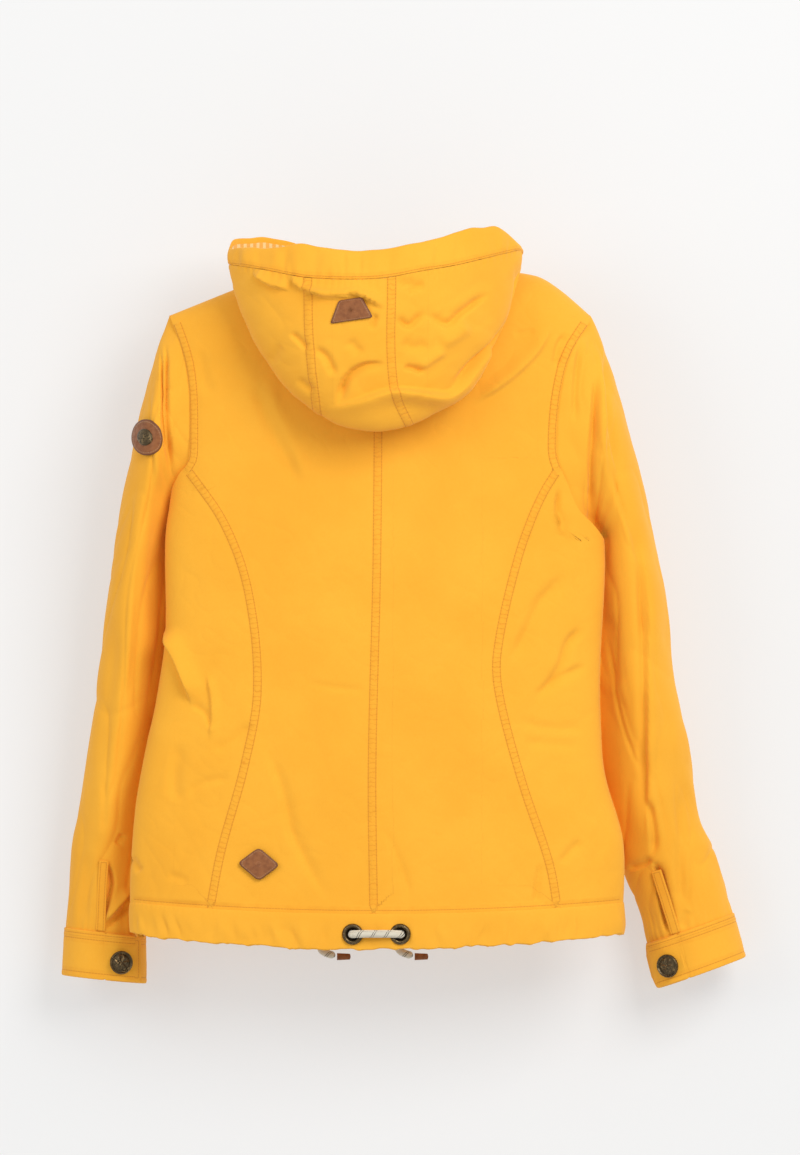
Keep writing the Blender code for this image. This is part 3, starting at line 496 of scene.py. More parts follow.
def cotton_material():
    """Washed cotton, with the stitches and the puckers of its seams; the seam bands have their own deeper
    orange, and the stitch grooves and pucker valleys have painted shade.
    """
    g = Graph("cotton")
    across, run, kind = g.attribute("seam")
    double = 1.0 - kind
    line = g.ramp(abs(abs(across) - double * STITCH_LANE_MM), 0.22, 0.62, 1.0, 0.0)
    stitch = line * g.ramp(g.beat(run / STITCH_MM), 0.05, 0.12)
    band = g.ramp(abs(across), 3.0, 4.6, 1.0, 0.0)
    rung_beat = g.beat(run / RUNG_MM + g.noise(220, 1.0) * 1.1)
    rung = g.ramp(rung_beat, 0.02, 0.16, 1.0, 0.0) * (band * double)
    fine = g.noise(420, 3.0)
    faded = tuple(c * k for c, k in zip(YELLOW, (0.965, 0.93, 0.85)))
    base = g.blend(g.ramp(g.noise(14, 3.0), 0.3, 0.7), YELLOW, faded)
    base = g.blend(g.ramp(fine, 0.35, 0.7) * 0.10, base, (0.86, 0.36, 0.03))
    patchy = g.ramp(g.noise(160, 2.0), 0.3, 0.75, 0.25, 0.75)
    # Painted shade in the stitch grooves (line) and the pucker valleys (rung), over the band's own deeper
    # orange.
    for amount in (band * patchy * 0.50, rung * patchy * 1.25, line * 0.45):
        base = g.blend(amount, base, SEAM_DYE_AND_PAINTED_SHADE)
    base = g.blend(stitch * 0.65, base, THREAD)
    crumples = g.noise(70, 3.0, stretch=(1.0, 1.0, 0.55))
    g.bump(weave(g) + stitch * 0.12 - line * 0.10 - rung * 0.18 + crumples * 0.30, 0.9)
    return g.finish(base, g.ramp(fine, 0.2, 0.8, 0.78, 0.92), Sheen_Weight=0.25,
                    Sheen_Roughness=0.5, Sheen_Tint=SHEEN_TINT, Specular_IOR_Level=0.18)


def trim_material():
    g = Graph("cotton_trim")
    colour = g.blend(g.ramp(g.noise(300, 3.0), 0.3, 0.7), YELLOW, (0.88, 0.37, 0.03))
    g.bump(weave(g), 0.9)
    return g.finish(colour, 0.85, Sheen_Weight=0.25, Sheen_Tint=SHEEN_TINT, Specular_IOR_Level=0.18)


def lining_material():
    g = Graph("lining")
    stripes = g.beat(g.split(g.place())[0] / 0.006)
    colour = g.blend(g.ramp(stripes, 0.20, 0.26), (0.80, 0.64, 0.30), (0.80, 0.42, 0.08))
    colour = g.blend(g.noise(500, 2.0) * 0.2, colour, (0.7, 0.4, 0.12))
    g.bump(weave(g, 1700), 0.9)
    return g.finish(colour, 0.88, Sheen_Weight=0.2, Specular_IOR_Level=0.2)


def leather_material():
    g = Graph("leather")
    rim, run, _ = g.attribute("patch")
    mottled = g.noise(260, 4.0)
    colour = g.blend(g.ramp(mottled, 0.3, 0.75), (0.29, 0.100, 0.027), (0.205, 0.064, 0.016))
    colour = g.blend(g.ramp(rim, 0.90, 0.97) * 0.7, colour, (0.115, 0.040, 0.018))
    lane = g.ramp(abs(rim - 0.87), 0.012, 0.026, 1.0, 0.0)
    stitch = lane * g.ramp(g.beat(run / 2.3), 0.08, 0.14)
    colour = g.blend(stitch * 0.35, colour, (0.55, 0.36, 0.20))
    pores = Wire(g, g.node("ShaderNodeTexVoronoi", (("Vector", g.place()), ("Scale", 1400))).outputs[0])
    g.bump(pores * 0.10 + mottled * 0.18 + stitch * 0.25 - lane * 0.18, 0.9)
    return g.finish(colour, g.ramp(mottled, 0.2, 0.8, 0.45, 0.65), Specular_IOR_Level=0.4)


def brass_material():
    g = Graph("antique_brass")
    worn = g.noise(700, 4.0)
    colour = g.blend(g.ramp(worn, 0.42, 0.62), (0.055, 0.040, 0.022), (0.27, 0.185, 0.085))
    colour = g.blend(g.ramp(g.noise(180, 2.0), 0.3, 0.7), colour, (0.10, 0.072, 0.038))
    g.bump(worn * 0.10, 0.8)
    return g.finish(colour, g.ramp(worn, 0.3, 0.7, 0.48, 0.30), Metallic=0.9)


def cord_material():
    """A braid of 12 strands each way, with a dark double tracer."""
    g = Graph("braided_cord")
    run, turn, _ = g.attribute("tube")
    climb = run / BRAID_MM
    double = abs(abs(g.math("FRACT", turn + climb) - 0.5) - 0.075)
    strands = g.math("SINE", (turn + climb) * 75.4) * g.math("SINE", (turn - climb) * 75.4)
    # Painted shade: the cord is darker where its braid dips, from the same pattern as its bump.
    colour = g.blend(g.ramp(strands, -1.0, 1.0), (0.62, 0.55, 0.42), (0.86, 0.82, 0.70))
    colour = g.blend(g.noise(1200, 2.0) * 0.25, colour, (0.55, 0.46, 0.32))
    colour = g.blend(g.ramp(double, 0.016, 0.030, 1.0, 0.0), colour, (0.016, 0.014, 0.013))
    g.bump(strands * 0.12 + g.noise(2500) * 0.1)
    return g.finish(colour, 0.9, Sheen_Weight=0.2, Specular_IOR_Level=0.2)


def nylon_material():
    g = Graph("zip_nylon")
    colour = g.blend(g.noise(500, 2.0), (0.80, 0.36, 0.035), (0.70, 0.29, 0.025))
    g.bump(weave(g, 2600), 0.8)
    return g.finish(colour, 0.55, Specular_IOR_Level=0.4)


def wall_material(name):
    """A pale one-sided surface that fades out some way from the middle of the stage."""
    g = Graph(name)
    g.finish(WALL_SHADE, 0.95, Specular_IOR_Level=0.0, Emission_Color=(1.0, 1.0, 0.995, 1.0),
             Emission_Strength=WALL_GLOW)
    geometry = g.node("ShaderNodeNewGeometry")
    offset = g.node("ShaderNodeVectorMath", ((0, geometry.outputs["Position"]), (1, STAGE_MIDDLE)),
                    operation="SUBTRACT")
    spread = g.node("ShaderNodeVectorMath", ((0, offset.outputs[0]),), operation="LENGTH")
    front = 1.0 - Wire(g, geometry.outputs["Backfacing"])
    seen = g.ramp(spread.outputs["Value"], 0.85, 1.25, 1.0, 0.0) * front
    clear = g.node("ShaderNodeBsdfTransparent")
    shown = g.node("ShaderNodeMixShader", ((0, seen), (1, clear.outputs[0]), (2, g.shader.outputs[0])))
    g.join(shown.outputs[0], g.tree.nodes["Material Output"].inputs["Surface"])
    return g.material


COTTON, COTTON_TRIM, LINING = cotton_material(), trim_material(), lining_material()
LEATHER, BRASS, CORD_FINISH, NYLON = leather_material(), brass_material(), cord_material(), nylon_material()
SHADOW = Graph("hole_shadow").finish((0.03, 0.018, 0.010), 0.95, Specular_IOR_Level=0.0)

WALL_SHADE, WALL_GLOW, WALL_Y, FLOOR_Z, STAGE_REACH = (0.38, 0.38, 0.38), 0.475, 0.103, -1.2, 3
STAGE_MIDDLE = (0.02, 0.13, -0.35)
WORLD_LIGHT = 0.60
LAMPS = [("key", (1.6, -2.7, 1.2), 1.8, 74.0), ("fill", (-2.4, -2.3, 0.5), 1.8, 27.0),
         ("rim", (1.8, 1.6, 1.0), 1.6, 12.0)]


def stage_and_light():
    far = STAGE_REACH
    wall = [(-far, WALL_Y, -far), (far, WALL_Y, -far), (far, WALL_Y, far), (-far, WALL_Y, far)]
    floor = [(-far, -far, FLOOR_Z), (far, -far, FLOOR_Z), (far, WALL_Y, FLOOR_Z), (-far, WALL_Y, FLOOR_Z)]
    for name, corners in (("wall", wall), ("floor", floor)):
        piece = emit(name, corners, [(0, 1, 2, 3)], wall_material(f"{name}_paint"))
        piece.visible_shadow = False
    world = bpy.data.worlds.new("studio")
    world.use_nodes = True
    world.node_tree.nodes["Background"].inputs["Color"].default_value = (1.0, 0.995, 0.985, 1)
    world.node_tree.nodes["Background"].inputs["Strength"].default_value = WORLD_LIGHT
    bpy.context.scene.world = world
    for name, spot, size, power in LAMPS:
        data = bpy.data.lights.new(name, "AREA")
        data.size, data.energy = size, power
        lamp = bpy.data.objects.new(name, data)
        bpy.context.scene.collection.objects.link(lamp)
        lamp.location = spot
        lamp.rotation_euler = (Vector((0.0, 0.0, -0.3)) - Vector(spot)).to_track_quat("-Z", "Y").to_euler()
        lamp.visible_camera = False
    bpy.context.scene.view_settings.view_transform = "Standard"


stage_and_light()

# ---- the jacket's driving dimensions, the same as the CAD model's -------------------------------
LEFT_EDGE = [(-0.650, -0.231), (-0.611, -0.2356), (-0.525, -0.231), (-0.4645, -0.221),
             (-0.419, -0.211), (-0.3515, -0.202), (-0.264, -0.202), (-0.207, -0.196), (-0.04, -0.204)]
RIGHT_EDGE = [(-0.650, 0.230), (-0.611, 0.233), (-0.550, 0.233), (-0.4855, 0.2157), (-0.443, 0.212),
              (-0.388, 0.211), (-0.269, 0.2157), (-0.202, 0.205), (-0.04, 0.214)]
BACK_DEPTH = [(-0.65, 0.055), (-0.3, 0.052), (-0.1, 0.050), (-0.02, 0.046)]
FRONT_DEPTH = 0.045
EDGE_BLUNTNESS = 0.7
SHOULDER_ROUNDING = 0.060
LEFT_SHOULDER = [(0.085, -0.006), (0.136, -0.026), (0.1980, -0.0510)]
RIGHT_SHOULDER = [(0.085, -0.006), (0.149, -0.013), (0.173, -0.0266), (0.208, -0.057)]
NECK_HALF_WIDTH, NECK_BACK_DEPTH = 0.085, 0.040
NECK_SIDE_Z, NECK_BACK_DROP, NECK_FRONT_DROP = -0.006, 0.010, 0.075
COLLAR_BACK_HEIGHT, COLLAR_FRONT_HEIGHT, COLLAR_LIFT, COLLAR_SIDE_DIP = 0.014, 0.038, 0.0030, 0.48
# A shell's outer edge (height, x), from below the armpit up the armhole.
OUTER = {LEFT: [(-0.252, -0.2008), (-0.223, -0.1985), (-0.2020, -0.1890), (-0.190, -0.1803),
                (-0.158, -0.1786), (-0.121, -0.1796), (-0.088, -0.185), (-0.0510, -0.1980)],
         RIGHT: [(-0.264, 0.2150), (-0.2506, 0.2058), (-0.2356, 0.1910), (-0.209, 0.1793),
                 (-0.1945, 0.1728), (-0.182, 0.1693), (-0.1406, 0.171), (-0.1026, 0.1777),
                 (-0.079, 0.187), (-0.057, 0.2014)]}
ARMHOLE_TOP = {LEFT: -0.0512, RIGHT: -0.0513}
ARMHOLE_LOW = {LEFT: -0.226, RIGHT: -0.258}
PRINCESS = {LEFT: [(-0.62, -0.160), (-0.557, -0.148), (-0.477, -0.126), (-0.405, -0.114),
                   (-0.309, -0.1235), (-0.246, -0.147), (-0.198, -0.1805)],
            RIGHT: [(-0.62, 0.171), (-0.571, 0.1625), (-0.491, 0.136), (-0.411, 0.115), (-0.371, 0.113),
                    (-0.284, 0.132), (-0.229, 0.152), (-0.198, 0.170)]}
CENTRE_SEAM = [(-0.62, -0.004), (-0.48, -0.0055), (-0.284, -0.001), (-0.01, 0.001)]
HEM_TOP_Z, HEM_TOP_RISE = -0.6175, 0.010
HEM_BOTTOM_Z, HEM_BOTTOM_RISE = -0.651, 0.014
HEM_HALF_WIDTH = 0.235
CORD = 0.0075
EYELET_Z = -0.6370
BACK_EYELETS_X = (-0.0238, 0.0209)
FRONT_EYELETS_X = (-0.056, 0.0178)
ZIP_TOP_Z, ZIP_BOTTOM_Z, TAPE_TOP_Z = -0.050, -0.600, -0.102
ZIP_EDGE = 0.0065
ZIP_PLANE_Y = FRONT_DEPTH - 0.0023
SLEEVE = {LEFT: [
    ((-0.1995, -0.057), (-0.190, -0.2035), 0.034, 0.002),
    ((-0.2125, -0.085), (-0.2005, -0.212), 0.040, 0.006),
    ((-0.2225, -0.120), (-0.2035, -0.224), 0.044, 0.012),
    ((-0.2320, -0.165), (-0.2045, -0.243), 0.046, 0.018),
    ((-0.2450, -0.229), (-0.2060, -0.275), 0.047, 0.025),
    ((-0.2580, -0.321), (-0.2070, -0.345), 0.046, 0.032),
    ((-0.2690, -0.397), (-0.2085, -0.410), 0.043, 0.038),
    ((-0.2790, -0.473), (-0.2150, -0.480), 0.040, 0.045),
    ((-0.2890, -0.530), (-0.2185, -0.535), 0.037, 0.052),
    ((-0.2945, -0.570), (-0.2205, -0.575), 0.034, 0.057),
    ((-0.2980, -0.634), (-0.2230, -0.642), 0.031, 0.060),
], RIGHT: [
    ((0.2080, -0.057), (0.1950, -0.2035), 0.034, 0.002),
    ((0.2160, -0.084), (0.2085, -0.212), 0.040, 0.006),
    ((0.2270, -0.120), (0.2135, -0.224), 0.044, 0.012),
    ((0.2400, -0.165), (0.2175, -0.243), 0.046, 0.018),
    ((0.2570, -0.229), (0.2195, -0.275), 0.047, 0.025),
    ((0.2765, -0.330), (0.2150, -0.345), 0.046, 0.032),
    ((0.2835, -0.397), (0.2140, -0.410), 0.043, 0.038),
    ((0.2980, -0.467), (0.2175, -0.485), 0.040, 0.045),
    ((0.3080, -0.528), (0.2280, -0.545), 0.037, 0.052),
    ((0.3230, -0.565), (0.2380, -0.590), 0.035, 0.057),
    ((0.3385, -0.6205), (0.2570, -0.649), 0.032, 0.060),
]}
CUFF_END = {LEFT: ((-0.3005, -0.678), (-0.2225, -0.686)), RIGHT: ((0.3495, -0.661), (0.2680, -0.6905))}
CUFF_PROUD, TAB_RAISE, TAB_THICK = 0.0014, 0.0026, 0.0020
# The cuffs' degrees round the arm: each tab's start, snap and point, and each placket's two edges.
TAB = {LEFT: (-90, -112, -143), RIGHT: (-106, -128, -166)}
PLACKET = {LEFT: (-90.0, -78.0), RIGHT: (-116.0, -104.0)}
SLIT_LENGTH_ROWS = 1.05
HOOD_MIDDLE_X, HOOD_HALF_WIDTH, HOOD_DROP = -0.003, 0.1385, 0.1625
HOOD_SEAT_Y, HOOD_SEAT_CURVE, HOOD_HALF_DEPTH = -0.059, 0.020, 0.033
HOOD_LEFT_SEAM = [(-0.165, -0.056), (-0.08, -0.064), (-0.01, -0.066)]
HOOD_RIGHT_SEAM = [(-0.165, 0.034), (-0.12, 0.015), (-0.01, 0.013)]
CASING_SEAM = [(-0.1415, -0.004), (-0.104, -0.0105), (-0.065, -0.018), (0.0, -0.019), (0.04, -0.012),
               (0.075, -0.0057), (0.1355, 0.0100)]
HOOD_NECK_Z = -0.004
HOOD_PATCH, HEM_PATCH, ARM_PATCH = (-0.0238, -0.0488), (-0.1126, -0.571), (-0.2180, -0.167)


# ---- the smooth surfaces ------------------------------------------------------------------------
def body_edges(z):
    return along(LEFT_EDGE, z), along(RIGHT_EDGE, z)


def body_ring(angle, z, inset=0.0):
    """The body's outline at one height: 0 degrees is the back's middle, 90 the right edge."""
    left, right = body_edges(z)
    across, through = np.sin(np.radians(angle)), np.cos(np.radians(angle))
    depth = np.where(through > 0, along(BACK_DEPTH, z), FRONT_DEPTH) - inset
    y = -np.sign(through) * depth * np.abs(through) ** EDGE_BLUNTNESS
    return np.stack(np.broadcast_arrays((left + right) / 2 + ((right - left) / 2 - inset) * across, y, z), -1)


def neck_z(side, x):
    share = np.clip(1 - (x / NECK_HALF_WIDTH) ** 2, 0, 1)
    if side == BACK:
        return NECK_SIDE_Z - NECK_BACK_DROP * share
    return NECK_SIDE_Z - NECK_FRONT_DROP * share**0.8


def body_top(side, x):
    shoulder = np.where(x < 0, along(LEFT_SHOULDER, np.abs(x)), along(RIGHT_SHOULDER, np.abs(x)))
    return np.where(np.abs(x) < NECK_HALF_WIDTH, neck_z(side, x), shoulder)


def body_y(side, x, z):
    left, right = body_edges(z)
    across = (2 * x - left - right) / (right - left)
    through = np.sqrt(np.clip(1 - across**2, 0, 1))
    depth = along(BACK_DEPTH, z) if side == BACK else FRONT_DEPTH
    neck = NECK_BACK_DEPTH if side == BACK else FRONT_DEPTH
    top = side * neck * np.sqrt(np.clip(1 - (x / NECK_HALF_WIDTH) ** 2, 0, 1))
    rise = np.clip((body_top(side, x) - z) / SHOULDER_ROUNDING, 0, 1)
    return top + (side * depth * through**EDGE_BLUNTNESS - top) * np.sqrt(1 - (1 - rise) ** 2)


def hem_top(x):
    return HEM_TOP_Z + HEM_TOP_RISE * (x / HEM_HALF_WIDTH) ** 2


def hem_bottom(x):
    return HEM_BOTTOM_Z + HEM_BOTTOM_RISE * (x / HEM_HALF_WIDTH) ** 2


def edge_angle(x, z):
    left, right = body_edges(z)
    return np.arcsin(np.clip((2 * x - left - right) / (right - left), -0.9999955, 0.9999955))


def outer_edge(side, z):
    """The body shell's outer edge: the armhole, and the side's outline below the armpit."""
    outline = body_edges(z)[0 if side == LEFT else 1]
    edge = mix(outline, along(OUTER[side], z), smooth((z - OUTER[side][0][0] + 0.012) / 0.024))
    return side * np.minimum(np.abs(edge), np.abs(outline))


def armhole_ring(side, angle):
    """The sleeve's sewn end, tucked just inside the body's armhole."""
    c, s = np.cos(np.radians(angle)), np.sin(np.radians(angle))
    z = mix(ARMHOLE_LOW[side], ARMHOLE_TOP[side], (1 + c) / 2)
    x = outer_edge(side, z) - side * (0.0025 * np.abs(s) + 0.0015 * (1 - c) / 2)
    y = np.where(s < 0, body_y(BACK, x, z), body_y(FRONT, x, z)) * np.minimum(1.0, 1.6 * np.abs(s))
    return np.stack([x, y * 0.94, z + 0.0008 * smooth(c)], -1)


def tucked(side, points):
    """Keep the part of a sleeve that lies inside the body's outline between its two shells."""
    x, y, z = points[..., 0], points[..., 1], points[..., 2]
    share = smooth((np.abs(outer_edge(side, z)) - np.abs(x)) / 0.004)
    back, front = body_y(BACK, x, z) + 0.008, body_y(FRONT, x, z) - 0.006
    held = np.clip(y, np.minimum(back, (back + front) / 2), np.maximum(front, (back + front) / 2))
    return np.stack([x, mix(y, held, share), z], -1)


def oval(outer, inner, depth, forward, angle, push=0.0):
    """A sleeve's cross-section; push moves its inner side forward, behind the body's edge."""
    c, s = np.cos(np.radians(angle)), np.sin(np.radians(angle))
    k = (1 + c) / 2
    inward = smooth((0.35 - c) / 1.35)
    y = forward + depth * s * (1 - 14 * push * inward) + push * inward
    return np.stack([mix(inner[0], outer[0], k), y, mix(inner[1], outer[1], k)], -1)


# How far a sleeve's inner side goes behind the body: (row, towards the body, forward, down).
TUCK = {
    LEFT: [(0, 0.006, 0.004, 0.030), (0.8, 0.010, 0.010, 0.024), (1.6, 0.012, 0.014, 0.018),
           (3, 0.013, 0.016, 0.008), (4, 0.011, 0.017, 0), (6, 0.009, 0.015, 0), (8, 0.004, 0.009, 0),
           (9.3, 0, 0.002, 0), (10, 0, 0, 0)],
    RIGHT: [(0, 0.002, 0.004, 0.060), (0.8, 0.004, 0.010, 0.052), (1.6, 0.009, 0.014, 0.047),
            (3, 0.014, 0.016, 0.032), (4, 0.016, 0.017, 0.012), (5, 0.016, 0.017, 0), (6, 0.013, 0.015, 0),
            (7, 0.009, 0.011, 0), (8, 0.003, 0.006, 0), (9.3, 0, 0.001, 0), (10, 0, 0, 0)]}


def sleeve(side, row, angle):
    table = [(float(i), *outer, *inner, depth, forward)
             for i, (outer, inner, depth, forward) in enumerate(SLEEVE[side])]
    rows = np.asarray(row, float) + 0 * angle
    values, tuck = along(table, rows), along(TUCK[side], rows)
    point = oval((values[..., 0], values[..., 1]),
                 (values[..., 2] - side * tuck[..., 0], values[..., 3] - tuck[..., 2]),
                 values[..., 4], values[..., 5], angle, tuck[..., 1])
    start = armhole_ring(side, angle + 0 * row)
    reach = mix(2.0, 0.9, smooth((1 + np.cos(np.radians(angle))) / 2))
    return mix(start, point, smooth(rows / reach)[..., None])


def sleeve_middle(side, row):
    return mix(sleeve(side, np.array(row), np.array(0.0)), sleeve(side, np.array(row), np.array(180.0)), 0.5)


def cuff(side, v, angle):
    outer, inner, depth, forward = SLEEVE[side][-1]
    bottom = CUFF_END[side]
    start = mix(0.02, 1.0, v)
    high = [mix(a, b, start) for a, b in zip(outer, bottom[0])]
    low = [mix(a, b, start) for a, b in zip(inner, bottom[1])]
    return oval(high, low, depth + 0.001, forward, angle)


def cuff_middle(side):
    return mix(cuff(side, 0.5, 0.0), cuff(side, 0.5, 180.0), 0.5)


def hood(x, s):
    """The pouch: s 0 at the casing's seam, 0.5 at the bottom and 1 at the neck, on the inside."""
    share = np.clip((x - HOOD_MIDDLE_X) / HOOD_HALF_WIDTH, -0.998, 0.998)
    half = HOOD_HALF_DEPTH * np.sqrt(1 - share * share) + 0.004
    drop = np.maximum(HOOD_DROP * (1 - share * share) ** 0.63, 0.002)
    seat = HOOD_SEAT_Y + HOOD_SEAT_CURVE * share * share
    top = mix(along(CASING_SEAM, x), HOOD_NECK_Z, smooth(s))
    fall = np.abs(np.sin(math.pi * s)) ** 0.75
    y = seat - half - half * np.cos(math.pi * s)
    return np.stack(np.broadcast_arrays(x, y, mix(top, np.minimum(-drop, top - 0.004), fall)), -1)


def hood_columns(reach, count):
    """Places across the pouch, closer together towards its sides."""
    return HOOD_MIDDLE_X + HOOD_HALF_WIDTH * np.sin(np.radians(np.linspace(-reach, reach, count)))


def collar(angle, v):
    """The stand collar: 0 degrees is the back's middle and 180 the front's."""
    across, through = np.sin(np.radians(angle)), np.cos(np.radians(angle))
    x = NECK_HALF_WIDTH * across
    back = through > 0
    depth = np.where(back, NECK_BACK_DEPTH, FRONT_DEPTH)
    height = mix(COLLAR_BACK_HEIGHT, COLLAR_FRONT_HEIGHT, smooth((1 - through) / 2))
    height = height * (1 - COLLAR_SIDE_DIP * np.exp(-((np.abs(angle) - 85) / 36) ** 2))
    base = np.where(back, neck_z(BACK, x), neck_z(FRONT, x))
    return np.stack([x, -through * depth, base + COLLAR_LIFT + height * v], -1)


def face_at(surface, u, v, inside):
    """The way a surface faces at one spot, away from a point inside it."""
    here = surface(u, v)
    normal = np.cross(surface(u + 0.01, v) - here, surface(u, v + 1.0) - here)
    normal /= np.linalg.norm(normal)
    return normal if normal.dot(here - inside) > 0 else -normal


HOOD_FOLD_GAIN, BODY_FOLD_GAIN, SLEEVE_FOLD_GAIN = 2.0, 1.7, 1.5

# ---- folds and creases, in mm: path (x, z), width, height, and sharpness of its right side --------
BACK_FOLDS = [
    ([(-119, -111), (-103, -155), (-88, -183), (-74, -217)], 7, -1.6, 1),
    ([(-110, -104), (-93, -145), (-78, -180), (-63, -217)], 8, 1.2, 1),
    ([(-204, -348), (-191, -377), (-180, -406), (-176, -422)], 10, 5.0, 0.13),
    ([(-177, -420), (-162, -431), (-158, -445)], 5, -1.5, 0.4),
    ([(-162, -388), (-157, -419), (-159, -456)], 5, 1.6, 0.35),
    ([(-110, -449), (-92, -497), (-83, -539), (-75, -556), (-59, -586),
      (-42, -610)], 7, -1.6, 0.5),
    ([(2, -531), (14, -555), (26, -588), (29, -612)], 5, -1.1, 0.5),
    ([(153, -569), (150, -596), (149, -612)], 4, -1.4, 0.5),
    ([(181, -295), (155, -322), (141, -351), (129, -373), (119, -378)], 9, -2.0, 0.6),
    ([(197, -346), (181, -360), (172, -385), (155, -408)], 6, -2.0, 0.6),
    ([(200, -382), (172, -395), (146, -414)], 6, -1.8, 0.6),
    ([(172, -214), (170, -233), (174, -263)], 3.5, -2.2, 0.5),
    ([(87, -135), (112, -120), (137, -100), (153, -82), (166, -57)], 9, 3.0, 0.35),
    ([(127, -432), (155, -441), (202, -443)], 5, -0.8, 1),
    ([(134, -455), (195, -460)], 5, -0.7, 1),
    ([(-189, -454), (-193, -502), (-180, -512)], 8, -1.5, 0.7),
    ([(-180, -510), (-170, -497), (-137, -488)], 5, -1.0, 0.7),
    ([(-158, -465), (-134, -453), (-117, -437)], 6, -1.2, 0.7),
    ([(-200, -580), (-178, -588)], 4, -0.9, 1),
    ([(-235, -564), (-225, -580)], 3.5, -1.4, 1),
    ([(-71, -399), (-32, -405), (-9, -406)], 4, -0.6, 1),
    ([(172, -572), (182, -559), (194, -548)], 4, -1.0, 1),
    ([(180, -67), (171, -80), (167, -104)], 5, -1.8, 0.6),
    ([(-169, -80), (-166, -106), (-156, -131)], 6, -0.8, 1),
    ([(128, -70), (150, -66)], 3.5, -0.6, 1),
]
FRONT_FOLDS = [([(side * x, z) for x, z in path], width, height, sharp) for path, width, height, sharp in (
    ([(165, -90), (150, -150), (125, -200)], 12, -2.0, 0.7),
    ([(60, -110), (75, -190), (70, -270)], 14, 1.8, 0.6),
    ([(200, -330), (165, -360), (130, -372)], 8, -2.0, 0.6),
    ([(40, -420), (52, -500), (45, -600)], 11, -1.5, 0.8)) for side in (LEFT, RIGHT)]
HOOD_FOLDS = [
    ([(-68, -26), (-57, -33), (-46, -35), (-33, -35), (-25, -33),
      (-16, -34), (-7, -39), (8, -48)], 6, 4.6, 0.14),
    ([(-119, -12), (-107, -20), (-98, -25), (-81, -29)], 6, 3.4, 0.14),
    ([(-85, -16), (-74, -26), (-60, -32), (-46, -35)], 4, 2.6, 0.2),
    ([(-1, -51), (-4, -60), (-7, -67)], 2.5, -2.0, 1),
    ([(-28, -76), (-21, -84), (-15, -91)], 5, -1.2, 1),
    ([(9, -99), (-6, -99), (-15, -101), (-25, -107), (-32, -115),
      (-36, -126), (-37, -139)], 5, -3.2, 0.4),
    ([(125, -53), (117, -74), (104, -91), (87, -109), (71, -124),
      (62, -127), (21, -123), (7, -125), (-17, -133), (-37, -139),
      (-55, -145)], 10, 5.0, 0.16),
    ([(-83, -70), (-76, -75), (-66, -86)], 4, -1.8, 0.5),
    ([(-90, -80), (-98, -88), (-104, -99)], 4, -1.0, 1),
    ([(-62, -86), (-53, -89), (-46, -99), (-42, -112)], 4.5, -2.0, 0.6),
    ([(-76, -112), (-68, -120), (-59, -125)], 4, -1.3, 1),
    ([(17, -54), (29, -64), (44, -50)], 4, -2.2, 0.5),
    ([(44, -50), (65, -62), (78, -52), (107, -31)], 4.5, -2.2, 0.5),
    ([(24, -102), (37, -105), (44, -109)], 3.5, -2.2, 0.5),
    ([(129, 0), (134, -29), (121, -67), (89, -101), (67, -122)], 7, -3.0, 0.45),
    ([(17, -21), (28, -24), (36, -20)], 2.5, -1.5, 1),
    ([(28, -33), (35, -28), (45, -24)], 4, -1.6, 0.6),
    ([(56, -79), (70, -74), (87, -60)], 9, 1.6, 0.7),
    ([(21, -79), (35, -84), (49, -80)], 6, -1.4, 0.7),
    ([(38, -104), (55, -93), (65, -86)], 7, 1.8, 0.5),
]
